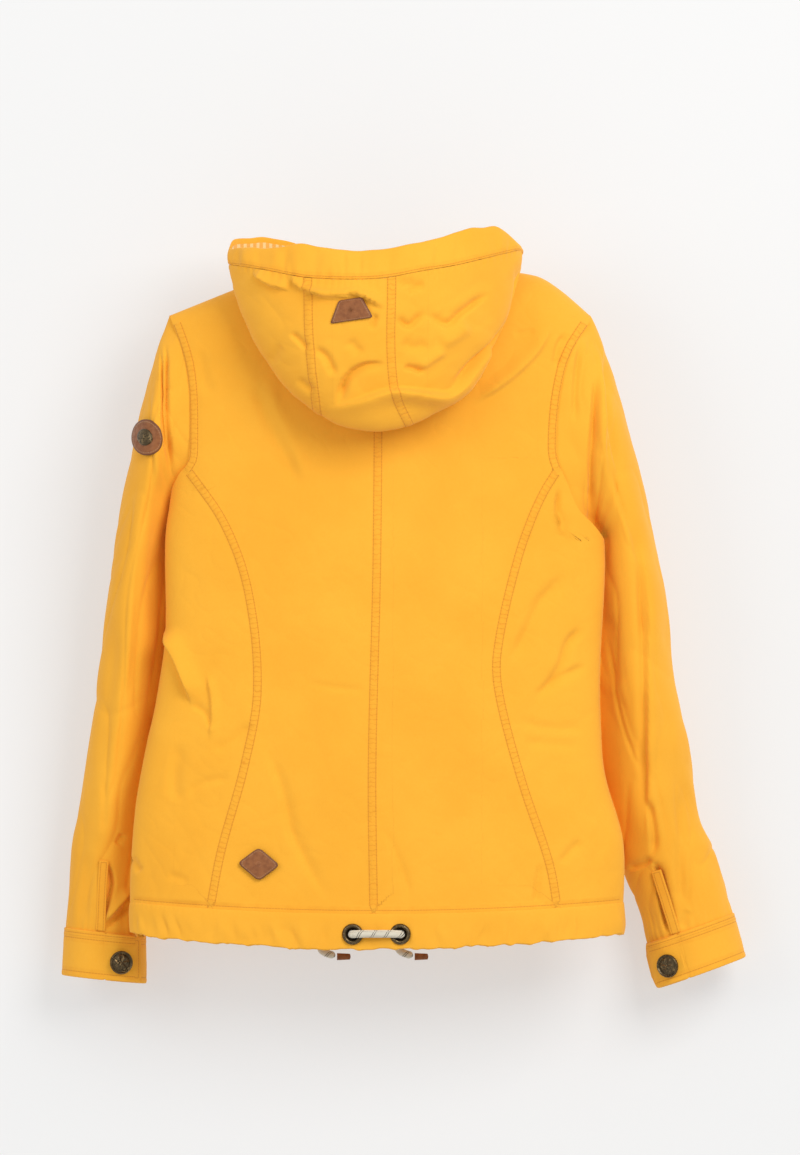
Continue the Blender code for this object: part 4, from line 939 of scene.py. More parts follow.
SLEEVE_FOLDS = {LEFT: [
    ([(-202.4, -75), (-201, -131), (-198.6, -169), (-195.7, -200)], 2.6, -3.6, 0.5),
    ([(-207.6, -80), (-205.8, -135.4), (-201.7, -170.8), (-196.4, -200)], 2.4, -3.2, 0.5),
    ([(-215, -120), (-212, -170), (-208, -220)], 5.0, 1.6, 0.5),
    ([(-208, -190), (-209, -240), (-213, -300), (-212, -360)], 7, -1.8, 1),
    ([(-222, -250), (-228, -320), (-232, -380), (-238, -440)], 6, -1.2, 1),
    ([(-233, -310), (-237, -360), (-239, -410)], 5, 1.0, 1),
    ([(-251, -332), (-253, -380), (-260, -441), (-264, -500)], 7, -1.2, 0.8),
    ([(-262, -487), (-260, -517), (-262, -545)], 4, -0.8, 0.8),
    ([(-242, -543), (-249, -555)], 4, -1.6, 0.6),
    ([(-259, -570), (-253, -592), (-260, -617), (-260, -630)], 2.2, -4.5, 0.8),
    ([(-261, -628), (-247, -613), (-233, -596)], 5, 4.5, 0.3),
    ([(-260, -634), (-244, -621), (-232, -610)], 3.5, -3.0, 0.7),
    ([(-277, -560), (-279, -600), (-282, -630)], 6, -1.0, 1),
], RIGHT: [
    ([(206.2, -105), (204.5, -140), (201.4, -194.5), (204.3, -262)], 4, -4.5, 0.5),
    ([(193, -75), (188, -105), (186, -136), (188, -156)], 4, -2.4, 0.6),
    ([(213, -78), (215.5, -110), (217, -140), (223, -170), (231, -210)], 5, -2.2, 0.4),
    ([(219, -220), (215.3, -180), (215, -130), (214, -70)], 6, 3.0, 0.3),
    ([(222, -190), (230, -225), (243, -262), (249, -290)], 7, -2.6, 0.5),
    ([(249, -245), (252, -290), (255, -330), (256, -400), (256.2, -470), (257.5, -560)],
     13, 3.4, 0.12),
    ([(247, -270), (251, -330), (252.5, -400), (252.7, -470), (254, -540)], 5, -2.6, 1),
    ([(217.5, -330), (222, -360), (224, -410)], 8, -1.8, 1),
    ([(216.5, -350), (227, -422), (242, -470), (253.6, -488)], 1.6, -1.1, 1),
    ([(256, -508), (262.2, -545), (260.8, -566)], 4, -3.0, 0.6),
    ([(262.5, -568), (266.5, -600), (274.5, -640)], 7, -6.5, 0.12),
    ([(290.6, -492), (288, -560), (289.5, -600), (292, -620)], 6, -2.0, 0.8),
    ([(296.5, -616), (288, -634)], 4, -1.2, 1),
    ([(237.5, -578), (254.5, -572), (261, -566)], 4, -2.4, 0.6),
]}


def flip(points):
    """Table points (height, x) as path points (x, height)."""
    return [(x, z) for z, x in points]


def armhole_band(side):
    """The middle of the felled seam that runs just inside an armhole."""
    heights = np.linspace(-0.058, -0.199, 15)
    return [(float(outer_edge(side, z)) - side * 0.0045, float(z)) for z in heights]


def princess_line(side):
    return [(float(along(PRINCESS[side], z)), float(z)) for z in np.linspace(-0.200, -0.614, 24)]


def hem_line(lift):
    return [(float(x), float(hem_top(x)) + lift) for x in np.linspace(-0.232, 0.230, 30)]


BACK_SEAMS = [(armhole_band(LEFT), 3.3, DOUBLE, 0.75), (armhole_band(RIGHT), 3.3, DOUBLE, 0.75),
              (princess_line(LEFT), 3.6, DOUBLE, 0.75), (princess_line(RIGHT), 3.6, DOUBLE, 0.75),
              (flip(CENTRE_SEAM), 3.6, DOUBLE, 0.75), (hem_line(0.0028), 0, SINGLE, 0.5)]
FRONT_SEAMS = BACK_SEAMS[:4] + [(hem_line(0.0028), 0, SINGLE, 0.5)] + [
    ([(side * 0.0175, -0.085), (side * 0.0185, -0.610)], 0, SINGLE, 0.4) for side in (LEFT, RIGHT)]


def drape(x, z, seed):
    """Slow hanging waves and small wrinkles that cover the whole cloth."""
    low = smooth((-z - 0.30) / 0.30)
    waves = noise(x, z * 0.33, 0.075, seed) * mix(0.8, 2.0, low)
    medium = noise(x + z * 0.25, z * 0.6, 0.032, seed + 1) * 0.55
    small = (noise(x - z * 0.4, z * 0.8, 0.014, seed + 2) * 0.26
             - 0.30 * crumple(x - z, z + x, 0.020, seed + 5))
    creases = (crumple(x + z * 0.35, z * 0.55, 0.060, seed + 3)
               + crumple(x - z * 0.5, z * 0.6, 0.034, seed + 4))
    return (waves + medium + small - 0.45 * creases * mix(0.5, 1.3, low)) * MM


def crumple(a, b, scale, seed):
    """Sharp-ridged creases, from 0 to 1, that wander over two coordinates."""
    a = a + scale * 0.5 * noise(a, b, scale * 1.7, seed + 7)
    b = b + scale * 0.5 * noise(b, a, scale * 1.9, seed + 8)
    return (1 - np.abs(noise(a, b, scale, seed))) ** 4


# ---- body ---------------------------------------------------------------------------------------
HEM_OVERLAP = 0.002


def body_grid(side, facing, columns, rows):
    """x and z of a half shell's grid, from the middle (or the zip) to the outer edge."""
    u = np.linspace(0, 1, columns)[None, :] * np.ones((rows, 1))
    v = np.linspace(0, 1, rows)[:, None] * np.ones((1, columns))

    def inner(z):
        return along(CENTRE_SEAM, z) if facing == BACK else side * ZIP_EDGE + 0 * z
    x = mix(side * ZIP_EDGE, side * 0.2, u)
    for _ in range(10):
        z = mix(body_top(facing, x), hem_top(x) - HEM_OVERLAP, v)
        angle = mix(edge_angle(inner(z), z), edge_angle(outer_edge(side, z), z), u)
        left, right = body_edges(z)
        x = (left + right) / 2 + (right - left) / 2 * np.sin(angle)
    return x, z


EDGE_TURN = [(0.0001, 0.0003), (0.0003, 0.0012), (0.0006, 0.0060)]  # inwards, towards the other half


def body_relief(side, facing, x, z):
    """The folds and waves of a half shell."""
    calm = smooth((body_top(facing, x) - z) / 0.02) * smooth((z - hem_top(x)) / 0.008)
    calm = calm * mix(0.35, 1.0, smooth(np.abs(outer_edge(side, z) - x) / 0.02))
    height = BODY_FOLD_GAIN * folds(x, z, BACK_FOLDS if facing == BACK else FRONT_FOLDS)
    return height + drape(x, z, 100 if facing == BACK else 200) * calm


def turned_in(side, facing, points):
    """A half shell's outer edge, with the cloth's edge turned in towards the other half."""
    turns = [points]
    for inwards, across in EDGE_TURN:
        turns.append(points[:, -1:] + np.array([-side * inwards, -facing * across, 0.0]))
    return np.concatenate(turns, axis=1)


def body_sheet(side, facing, columns, rows, word, finish, inset, attributes=None, relief=0.0):
    x, z = body_grid(side, facing, columns, rows)
    flat = np.stack([x, body_y(facing, x, z), z], -1)
    normal, _ = outward(flat, (0, 0, -0.3))
    height = body_relief(side, facing, x, z)
    if attributes:
        across, run, kind, relief = seams(x, z, attributes)
        seam = seam_marks(across, run, kind)["seam"]
        attributes = {"seam": np.concatenate([seam] + [seam[:, -1:]] * len(EDGE_TURN), axis=1)}
    points = flat + normal * (height + relief - inset(x, z))[..., None]
    if attributes:
        points = turned_in(side, facing, points)
    view, hand = VIEWS[facing], HANDS[side]
    obj = sheet_mesh(f"{view}_{word}_{hand}", points, (0, 0, -0.3), finish, attributes)
    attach(obj, "torso")
    return obj, view, hand


def body_shell(side, facing, columns, rows):
    obj, view, hand = body_sheet(side, facing, columns, rows, "shell", COTTON, lambda x, z: 0.0,
                                 BACK_SEAMS if facing == BACK else FRONT_SEAMS)
    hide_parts(f"{view}_panel_{hand}", f"side_{view}_panel_{hand}")


def body_lining(side, facing):
    def inset(x, z):
        return mix(0.0030, 0.0095, smooth(np.abs(outer_edge(side, z) - x) / 0.02))
    obj, _, _ = body_sheet(side, facing, 60, 190, "lining", LINING, inset)


for side_sign in (LEFT, RIGHT):
    body_shell(side_sign, BACK, 168, 430)
    body_shell(side_sign, FRONT, 130, 320)
    for facing_sign in (BACK, FRONT):
        body_lining(side_sign, facing_sign)


def hem_band():
    """The gathered drawcord tunnel, from one side of the zip round the back to the other."""
    reach = 180 - math.degrees(ZIP_EDGE / HEM_HALF_WIDTH)
    angle = np.linspace(-reach, reach, 760)[:, None]
    ring = body_ring(angle, -0.63 + 0 * angle)
    run = distance_along(ring[:, 0])[:, None]
    x = ring[..., 0]
    turn = np.linspace(0, 1, 56, endpoint=False)[None, :]
    # Round the section: the outer face goes down, then the inner face comes back up.
    face = np.where(turn < 0.5, turn * 2, 2 - turn * 2)
    outer = (turn < 0.5)
    v = mix(face, 0.5 - 0.5 * np.cos(face * math.pi), 0.35)
    gather = noise(run, run * 0, 0.0115, 31)
    gather2 = noise(run, run * 0, 0.0052, 32)
    scallop = (gather * 1.5 + gather2 * 0.9 - 1.3 * crumple(run, run * 0, 0.017, 33)) * MM
    top, low = hem_top(x), hem_bottom(x) - 0.0005
    z = mix(top, low + scallop, v)
    bulge = np.sin(math.pi * np.clip(turn * 2, 0, 1)) ** 0.6
    inner_bulge = np.sin(math.pi * np.clip(turn * 2 - 1, 0, 1)) ** 0.5
    inset = np.where(outer, -0.0012 - 0.0016 * bulge, 0.0022 + 0.0095 * inner_bulge)
    lean = run + 0.004 * noise(run, v * 0.03, 0.02, 35)
    crease = (noise(lean, v * 0.010, 0.013, 36) * 1.3 + noise(lean, v * 0.012, 0.006, 37) * 0.7
              - 1.3 * crumple(lean, v * 0.012, 0.022, 34))
    hang = smooth(v / 0.75)
    ripple = crease * mix(0.15, 1.0, hang) * MM * (1.2 * bulge)
    shirr = 0.16 * np.sin(run / 0.0046 * 2 * math.pi + 2 * gather) * np.exp(-(v / 0.16) ** 2) * MM
    inset = inset - np.where(outer, ripple + shirr, -ripple * 0.4)
    points = body_ring(angle + 0 * turn, -0.63 + 0 * (angle + turn), inset)
    points[..., 2] = z
    obj = section_mesh("hem_band", points, COTTON, seam_marks(NO_SEAM + 0 * z, run / MM))
    fitted(obj, "torso", "yellow_cotton", "hem_band_outer", "hem_band_inner")


hem_band()


def hem_spot(side, x):
    """The point of the hem band's outer face at x, and the way it faces."""
    share = math.degrees(float(edge_angle(x, EYELET_Z)))
    angle = share if side == BACK else 180 - share
    here, beside = body_ring(angle, EYELET_Z, -0.001), body_ring(angle + 0.5, EYELET_Z, -0.001)
    facing = np.cross(beside - here, (0, 0, 1.0))
    return here, facing / np.linalg.norm(facing)


EYELET_PROFILE = [(0.0060, 0.0012), (0.0063, 0.0022), (0.0071, 0.0030), (0.0082, 0.0031), (0.0092, 0.0024),
                  (0.0099, 0.0012), (0.0100, 0.0001), (0.0090, -0.0002), (0.0066, -0.0004),
                  (0.0064, -0.0026), (0.0060, -0.0026)]


def eyelets():
    for word, side, x in (("back_left", BACK, BACK_EYELETS_X[0]), ("back_right", BACK, BACK_EYELETS_X[1]),
                          ("front_left", FRONT, FRONT_EYELETS_X[0]),
                          ("front_right", FRONT, FRONT_EYELETS_X[1])):
        spot, facing = hem_spot(side, x)
        obj = lathe(f"eyelet_{word}", EYELET_PROFILE, spot + facing * 0.0012, facing, BRASS)
        fitted(obj, "torso", "antique_brass", f"hem_eyelet_{word}")
        well = lathe(f"eyelet_well_{word}", [(0, 0.0010), (0.0061, 0.0010)], spot + facing * 0.0010,
                     facing, SHADOW)
        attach(well, "torso")


eyelets()


def braid(run, turn):
    """The woven relief of a braided cord."""
    beat = run / 0.0127
    return 0.00016 * np.sin((turn + beat) * 12 * 2 * math.pi) * np.sin((turn - beat) * 12 * 2 * math.pi)


def smooth_route(points, step):
    """A route's points a step apart, with the same spans as the CAD model's."""
    route = np.array(points, float)
    fine = []
    for i in range(len(route) - 1):
        before, after = route[max(i - 1, 0)], route[min(i + 2, len(route) - 1)]
        a, b = route[i], route[i + 1]
        leave, arrive = (b - before) / 2, (after - a) / 2
        for j in range(40):
            k = j / 40
            fine.append(a * (2 * k**3 - 3 * k**2 + 1) + leave * (k**3 - 2 * k**2 + k)
                        + b * (3 * k**2 - 2 * k**3) + arrive * (k**3 - k**2))
    fine.append(route[-1])
    fine = np.array(fine)
    run = distance_along(fine)
    wanted = np.linspace(0, run[-1], max(int(round(run[-1] / step)), 4))
    return np.stack([np.interp(wanted, run, fine[:, k]) for k in range(3)], -1), run[-1]


def cords():
    for index, word in enumerate(("left", "right")):
        eyelet, facing = hem_spot(FRONT, FRONT_EYELETS_X[index])
        knot = eyelet + np.array((0.0150, 0.0150, -0.0240))
        route = [eyelet + facing * 0.0005, eyelet + facing * 0.0108,
                 eyelet + np.array((0.0005, 0.0188, -0.0085)),
                 eyelet + np.array((0.0030, 0.0192, -0.0192)), knot]
        path, length = smooth_route(route, 0.0007)
        obj = sweep(f"drawcord_end_{word}", path, CORD / 2 - 0.0001, CORD_FINISH, 28, braid)
        fitted(obj, "torso", "cream_cord", f"hem_cord_end_{word}")
        tip = knot + np.array((0.0020, -0.0002, -0.0002))
        tip_obj = cord_tip(f"drawcord_tip_{word}", tip)
        fitted(tip_obj, "torso", "brown_leather", f"cord_tip_{word}")
    starts = [hem_spot(BACK, x) for x in BACK_EYELETS_X]
    ends = [[spot + facing * out for out in (-0.0058, -0.0025, 0.0010, 0.0040)] for spot, facing in starts]
    bridge = [mix(ends[0][-1], ends[1][-1], k) + np.array((0, -0.0035, 0.0005)) for k in (0.2, 0.5, 0.8)]
    path, _ = smooth_route(ends[0] + bridge + ends[1][::-1], 0.0007)
    obj = sweep("drawcord_bridge", path, CORD / 2 - 0.0001, CORD_FINISH, 28, braid)
    fitted(obj, "torso", "cream_cord", "hem_cord")


def cord_tip(name, tip):
    """A folded leather end: two layers round the cord's end, rounded at the fold."""
    u = np.linspace(0, 1, 26)[:, None]
    turn = np.linspace(0, 2 * math.pi, 28, endpoint=False)[None, :]
    fold = np.where(u > 0.93, np.sqrt(np.clip(1 - ((u - 0.93) / 0.071) ** 2, 0.05, 1)), 1)
    y = np.sign(np.sin(turn)) * np.abs(np.sin(turn)) ** 0.6 * 0.0021 * fold
    z = np.sign(np.cos(turn)) * np.abs(np.cos(turn)) ** 0.5 * (0.0034 - 0.0006 * u) * fold
    x = 0.013 * u + 0 * turn
    points = np.stack([x, y + 0 * x, z - 0.0005 + 0 * x], -1) + tip
    return section_mesh(name, points, LEATHER, {"patch": np.stack([0.2 + 0 * x, u * 13 + 0 * x, 0 * x], -1)})


cords()


# ---- collar and hang loop -----------------------------------------------------------------------
def neck_pieces():
    reach = 180 - math.degrees(ZIP_EDGE / NECK_HALF_WIDTH)
    angle, v = np.linspace(-reach, reach, 220)[:, None], np.linspace(0, 1, 26)[None, :]
    points = collar(angle + 0 * v, mix(-0.12, 1.0, v) + 0 * angle)
    run = distance_along(points[:, 0])[:, None]
    normal, _ = outward(points, (0, 0, -0.02))
    bulge = 0.8 * np.sin(math.pi * v) + 0.35 * noise(run, v * 0.02, 0.012, 51)
    points = points + normal * (bulge * MM)[..., None]
    height = np.linalg.norm(points - points[:, :1], axis=-1) / MM
    obj = slab("stand_collar", points, (0, 0, -0.02), 0.0016, COTTON, seam_marks(height - 4.5, run / MM))
    fitted(obj, "torso", "yellow_cotton", "collar_stand")
    x = np.linspace(-0.024, 0.024, 60)
    line = np.stack([x, 0 * x - NECK_BACK_DEPTH + 0.0085, -0.010 - 0.018 * (1 - (x / 0.024) ** 2)], -1)
    loop = sweep("hanging_loop", line, 0.0015, COTTON_TRIM, 14)
    fitted(loop, "torso", "yellow_cotton", "hang_loop")


neck_pieces()


# ---- sleeves ------------------------------------------------------------------------------------
SLEEVE_SPLIT_ROW = 4.9


def bend_at_shoulder(obj):
    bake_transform(obj)


def sleeves():
    for side, word in HANDS.items():
        row = np.concatenate([np.linspace(0, 1.0, 60), np.linspace(1.0, 10.0, 330)[1:]])[:, None]
        angle = (np.arange(168) * 360 / 168 - 180)[None, :]
        flat = sleeve(side, row + 0 * angle, angle + 0 * row)
        normal, _ = outward(flat, flat.mean(axis=1, keepdims=True), False, True)
        x, z = flat[..., 0], flat[..., 2]
        seen = smooth((-normal[..., 1] + 0.15) / 0.5)
        turn = np.radians(angle)
        round_arm = np.sin(turn) * 3.2 + np.cos(turn) + 0 * row
        waves = (noise(row * 0.9 + 0 * turn, np.cos(turn) * 1.5 + 0 * row, 0.9, 301 + side) * 1.6
                 + noise(row * 2.6 + 0 * turn, round_arm, 1.0, 305 + side) * 0.6
                 + noise(x * 1.0, z * 0.45 + turn * 0.01, 0.018, 309 + side) * 0.40
                 - crumple(x - z * 0.08, z * 0.22 + turn * 0.012, 0.018, 315 + side) * 1.5
                 - crumple(x + z * 0.3, z * 0.5 + turn * 0.02, 0.030, 325 + side) * 0.9) * MM
        calm = smooth(row / 0.8) * smooth((10 - row) / 0.4)
        gathers = 0.5 * np.sin(turn * 26 + 3 * np.sin(turn * 5)) * MM * smooth((row - 9.3) / 0.6)
        height = waves * calm + SLEEVE_FOLD_GAIN * folds(x, z, SLEEVE_FOLDS[side]) * seen + gathers * 0.6
        points = tucked(side, flat + normal * height[..., None])
        shading, _ = outward(points, points.mean(axis=1, keepdims=True), False, True)
        cut = int(np.argmin(np.abs(row[:, 0] - SLEEVE_SPLIT_ROW)))
        for part, span in (("upper", slice(0, cut + 1)), ("lower", slice(cut, None))):
            piece = points[span]
            obj = sheet_mesh(f"sleeve_{part}_{word}", piece, piece.mean(axis=(0, 1)), COTTON,
                             seam_marks(NO_SEAM + 0 * piece[..., 0], 0.0, DOUBLE), wrap_v=True,
                             normals=shading[span])
            if part == "upper":
                bend_at_shoulder(obj)
            else:
                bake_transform(obj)
            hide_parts(f"{part}_sleeve_{word}")


sleeves()


# ---- cuffs --------------------------------------------------------------------------------------
def cuff_stitches(depth, total):
    """Distance in mm to a cuff's nearest row of stitches: two rows above and one below."""
    upper = np.where(depth < 4.5, depth - 2.0, depth - 7.0)
    return np.where(depth < total / 2, upper, total - depth - 4.5)


def cuffs():
    for side, word in HANDS.items():
        surface, inside = partial(cuff, side), cuff_middle(side)
        start, snap, end = TAB[side]
        angle = np.linspace(start - 360, start - 4, 200)[:, None]
        v = np.linspace(0, 1, 34)[None, :]
        flat = surface(v + 0 * angle, angle + 0 * v)
        normal, _ = outward(flat, inside)
        run = distance_along(flat[:, 17])[:, None]
        depth = np.linalg.norm(flat - flat[:, :1], axis=-1) / MM
        total = depth[:, -1:]
        wave = (0.35 * noise(run, depth * MM * 0.5, 0.022, 401 + side)
                + 0.16 * noise(run, depth * MM, 0.008, 402 + side)) * MM
        top_seam = np.minimum(np.abs(depth - 2.0), np.abs(depth - 7.0))
        low_seam = np.abs(total - depth - 4.5)
        puckers = np.sin(run / MM * 2 * math.pi / 5.0) * np.exp(-((total - depth - 2.5) / 2.5) ** 2)
        groove = (-0.30 * np.exp(-(top_seam / 0.9) ** 2) - 0.30 * np.exp(-(low_seam / 0.9) ** 2)
                  + 0.16 * puckers) * MM
        points = flat + normal * (CUFF_PROUD + wave + groove)[..., None]
        obj = slab(f"sleeve_cuff_{word}", points, inside, 0.0022, COTTON,
                   seam_marks(cuff_stitches(depth, total), run / MM))
        fitted(obj, f"lower_sleeve_{word}", "yellow_cotton", f"cuff_{word}")

        raised = CUFF_PROUD + TAB_RAISE + TAB_THICK
        share, v = np.linspace(0, 1, 60)[:, None], np.linspace(0, 1, 34)[None, :]
        angle = mix(start, end, share)
        point_share = smooth((share - 0.86) / 0.14) if side == RIGHT else smooth((share - 0.94) / 0.06) * 0.35
        low_v, high_v = mix(0.02, 0.02 + 0.22, point_share), mix(0.985, 0.985 - 0.24, point_share)
        depth_v = mix(low_v, high_v, v)
        flat = surface(depth_v, angle + 0 * v)
        normal, _ = outward(flat, inside)
        down = np.linalg.norm(flat - surface(0 * v, angle + 0 * v), axis=-1) / MM
        whole = surface(1 + 0 * v, angle + 0 * v) - surface(0 * v, angle + 0 * v)
        total = np.linalg.norm(whole, axis=-1) / MM
        edge = np.minimum(np.minimum(v, 1 - v) * 44, (1 - share) * 40)
        line = np.where(share > 0.80, edge - 3.2, cuff_stitches(down, total))
        groove = -0.32 * np.exp(-(line / 0.8) ** 2) * MM
        soft = 0.35 * noise(share * 0.035, v * 0.04, 0.012, 411 + side) * MM
        ease = smooth(share / 0.45)
        points = flat + normal * (mix(CUFF_PROUD, raised, ease) + groove + soft)[..., None]
        run = share * 40 * np.ones_like(v)
        along_edge = np.where(np.minimum(v, 1 - v) * 44 < (1 - share) * 40, run, v * 44)
        obj = slab(f"snap_tab_{word}", points, inside, TAB_THICK, COTTON, seam_marks(line, along_edge))
        fitted(obj, f"cuff_tab_{word}", "yellow_cotton", f"cuff_tab_{word}")

        spot, facing = surface(0.60, snap + 0.0), face_at(surface, 0.60, float(snap), inside)
        cap = lathe(f"snap_cap_{word}", SNAP_PROFILE, spot + facing * (raised + 0.0002), facing, BRASS, 72,
                    snap_relief)
        fitted(cap, f"cuff_tab_{word}", "antique_brass", f"cuff_snap_cap_{word}")
        stud = lathe(f"snap_stud_{word}", STUD_PROFILE, spot + facing * (CUFF_PROUD + 0.0003), facing,
                     BRASS, 32)
        fitted(stud, f"lower_sleeve_{word}", "antique_brass", f"cuff_snap_stud_{word}")
        placket(side, word)


def placket(side, word):
    share, v = np.linspace(0, 1, 50)[:, None], np.linspace(0, 1, 12)[None, :]
    row = mix(10 - SLIT_LENGTH_ROWS, 9.97, share)
    angle = mix(*PLACKET[side], v)
    flat = sleeve(side, row + 0 * v, angle + 0 * row)
    middle = sleeve_middle(side, 9.5)
    normal, _ = outward(flat, middle)
    soft = 0.3 * noise(share * 0.07, v * 0.01, 0.012, 431 + side) * MM
    points = flat + normal * (0.0012 + soft)[..., None]
    edge = np.minimum(np.minimum(v, 1 - v) * 9, share * 66)
    obj = slab(f"slit_binding_{word}", points, middle, 0.0012, COTTON, seam_marks(edge - 1.6, share * 66))
    fitted(obj, f"lower_sleeve_{word}", "yellow_cotton", f"sleeve_placket_{word}")


SNAP_PROFILE = [(0, 0.0030), (0.0015, 0.0030), (0.003, 0.00295), (0.0045, 0.00285), (0.006, 0.0027),
                (0.0074, 0.0024), (0.0084, 0.0018), (0.0089, 0.0016), (0.0094, 0.0022), (0.0099, 0.0033),
                (0.0105, 0.0035), (0.0110, 0.0028), (0.0112, 0.0014), (0.0110, 0.0), (0, 0.0)]
STUD_PROFILE = [(0, 0.0019), (0.0024, 0.0019), (0.0034, 0.0017), (0.0040, 0.0011), (0.0048, 0.0009),
                (0.0048, 0.0), (0, 0.0)]


def snap_relief(radius, height, turn):
    """A plain raised leaf-like rosette, worn down, on the cap's face."""
    face = smooth((0.0086 - radius) / 0.002) * (height > 0.002)
    petals = np.cos(turn * 6) * np.sin(np.clip(radius / 0.0084, 0, 1) * math.pi)
    return 0.00040 * petals * face


cuffs()


# ---- hood ---------------------------------------------------------------------------------------
def hood_relief(px, pz, s):
    """The pouch's folds and wrinkles."""
    waves = (noise(px + pz * 0.5, pz - px * 0.3, 0.050, 501) * 1.8
             + noise(px, pz * 0.8, 0.021, 502) * 0.9 + noise(px - pz, pz, 0.010, 503) * 0.30
             - crumple(px + 0.6 * pz, pz - 0.6 * px, 0.040, 505) * 0.7
             - crumple(px - 0.5 * pz, pz + 0.5 * px, 0.024, 506) * 0.35) * MM
    calm = smooth(s / 0.05) * smooth((1 - s) / 0.15)
    return HOOD_FOLD_GAIN * folds(px, pz, HOOD_FOLDS, 6) * smooth((0.56 - s) / 0.08) + waves * calm


def hood_shell():
    x = hood_columns(86.0, 200)[None, :]
    s = np.concatenate([np.linspace(0, 0.5, 130), np.linspace(0.5, 1.0, 60)[1:]])[:, None]
    flat = hood(x + 0 * s, s + 0 * x)
    inside = (HOOD_MIDDLE_X, HOOD_SEAT_Y - HOOD_HALF_DEPTH, -0.04)
    normal, flipped = outward(flat, inside)
    px, pz = flat[..., 0], flat[..., 2]
    rows = [(flip(HOOD_LEFT_SEAM), 3.8, DOUBLE, 0.8), (flip(HOOD_RIGHT_SEAM), 3.8, DOUBLE, 0.8)]
    across, run, kind, relief = seams(px, pz, rows)
    height = relief * smooth((0.56 - s) / 0.08) + hood_relief(px, pz, s)
    beat = px / 0.0062 * 2 * math.pi + 3 * noise(px, px * 0, 0.02, 504)
    puckers = 0.45 * np.sin(beat) * np.exp(-(s / 0.010) ** 2) * MM
    points = flat + normal * (height + puckers)[..., None]
    across = np.where(s < 0.56, across, NO_SEAM)
    obj = sheet_mesh("hood_shell", points, inside, COTTON, seam_marks(across, run, kind))
    hinged_at_neck(obj, "yellow_cotton", "hood_panel_left", "hood_panel_centre", "hood_panel_right")

    x = hood_columns(80.0, 110)[None, :]
    s = np.linspace(0.0, 1.0, 90)[:, None]
    inner = hood(x + 0 * s, s + 0 * x)
    normal, _ = outward(inner, inside)
    inner = inner + normal * (hood_relief(inner[..., 0], inner[..., 2], s) - 0.0045)[..., None]
    lining = sheet_mesh("hood_inside", inner, inside, LINING)
    hinged_at_neck(lining, "striped_lining", "hood_lining")


BACK_RIM = [(-0.1415, 0.0115), (-0.11, 0.0114), (-0.088, 0.0120), (-0.071, 0.0150), (-0.055, 0.0105),
            (0, 0.0085), (0.03, 0.0135), (0.06, 0.021), (0.110, 0.0325), (0.1235, 0.0235), (0.1355, 0.0135)]
# The rim's way on to the collar's front: x (mirrored on the right), y, seam's z, rim's z.
FRONT_RIM_LEFT = [(-0.1412, -0.051, -0.004, 0.0115), (-0.138, -0.036, -0.003, 0.0190),
                  (-0.130, -0.016, -0.002, 0.0215), (-0.105, 0.012, 0.000, 0.0235),
                  (-0.070, 0.036, -0.008, 0.0150), (-0.030, 0.048, -0.034, -0.012),
                  (-0.0075, 0.0505, -0.042, -0.020)]
FRONT_RIM_RIGHT = [(0.1352, -0.051, 0.0085, 0.0135), (0.134, -0.036, 0.003, 0.0120),
                   (0.128, -0.016, -0.002, 0.0120), (0.105, 0.012, 0.000, 0.0140),
                   (0.070, 0.036, -0.008, 0.0080), (0.030, 0.048, -0.034, -0.012),
                   (0.0075, 0.0505, -0.042, -0.020)]


def rim_stations():
    """Seam points and rim points round the hood's opening, from zip to zip by way of the back."""
    x = hood_columns(84.5, 240)
    low = hood(x, 0 * x)
    high = np.stack([x, low[:, 1] + 0.010, along(BACK_RIM, x)], -1)
    sides = []
    for table in (FRONT_RIM_LEFT, FRONT_RIM_RIGHT):
        fine = smooth_line(table, 0.0020)
        sides.append((fine[:, [0, 1, 2]], fine[:, [0, 1, 3]]))
    ends = low[0].copy(), low[-1].copy()
    low = np.concatenate([sides[0][0][:4:-1], low[4:-4], sides[1][0][5:]])
    high = np.concatenate([sides[0][1][:4:-1], high[4:-4], sides[1][1][5:]])
    for _ in range(3):
        run = distance_along(low)
        even = np.linspace(0, run[-1], 400)
        low = np.stack([np.interp(even, run, low[:, k]) for k in range(3)], -1)
        high = np.stack([np.interp(even, run, high[:, k]) for k in range(3)], -1)
        for points in (low, high):
            for _ in range(5):
                points[1:-1] = (points[:-2] + 2 * points[1:-1] + points[2:]) / 4
    first, last = [int(np.argmin(np.linalg.norm(low - end, axis=1))) for end in ends]
    return low, high, first, last


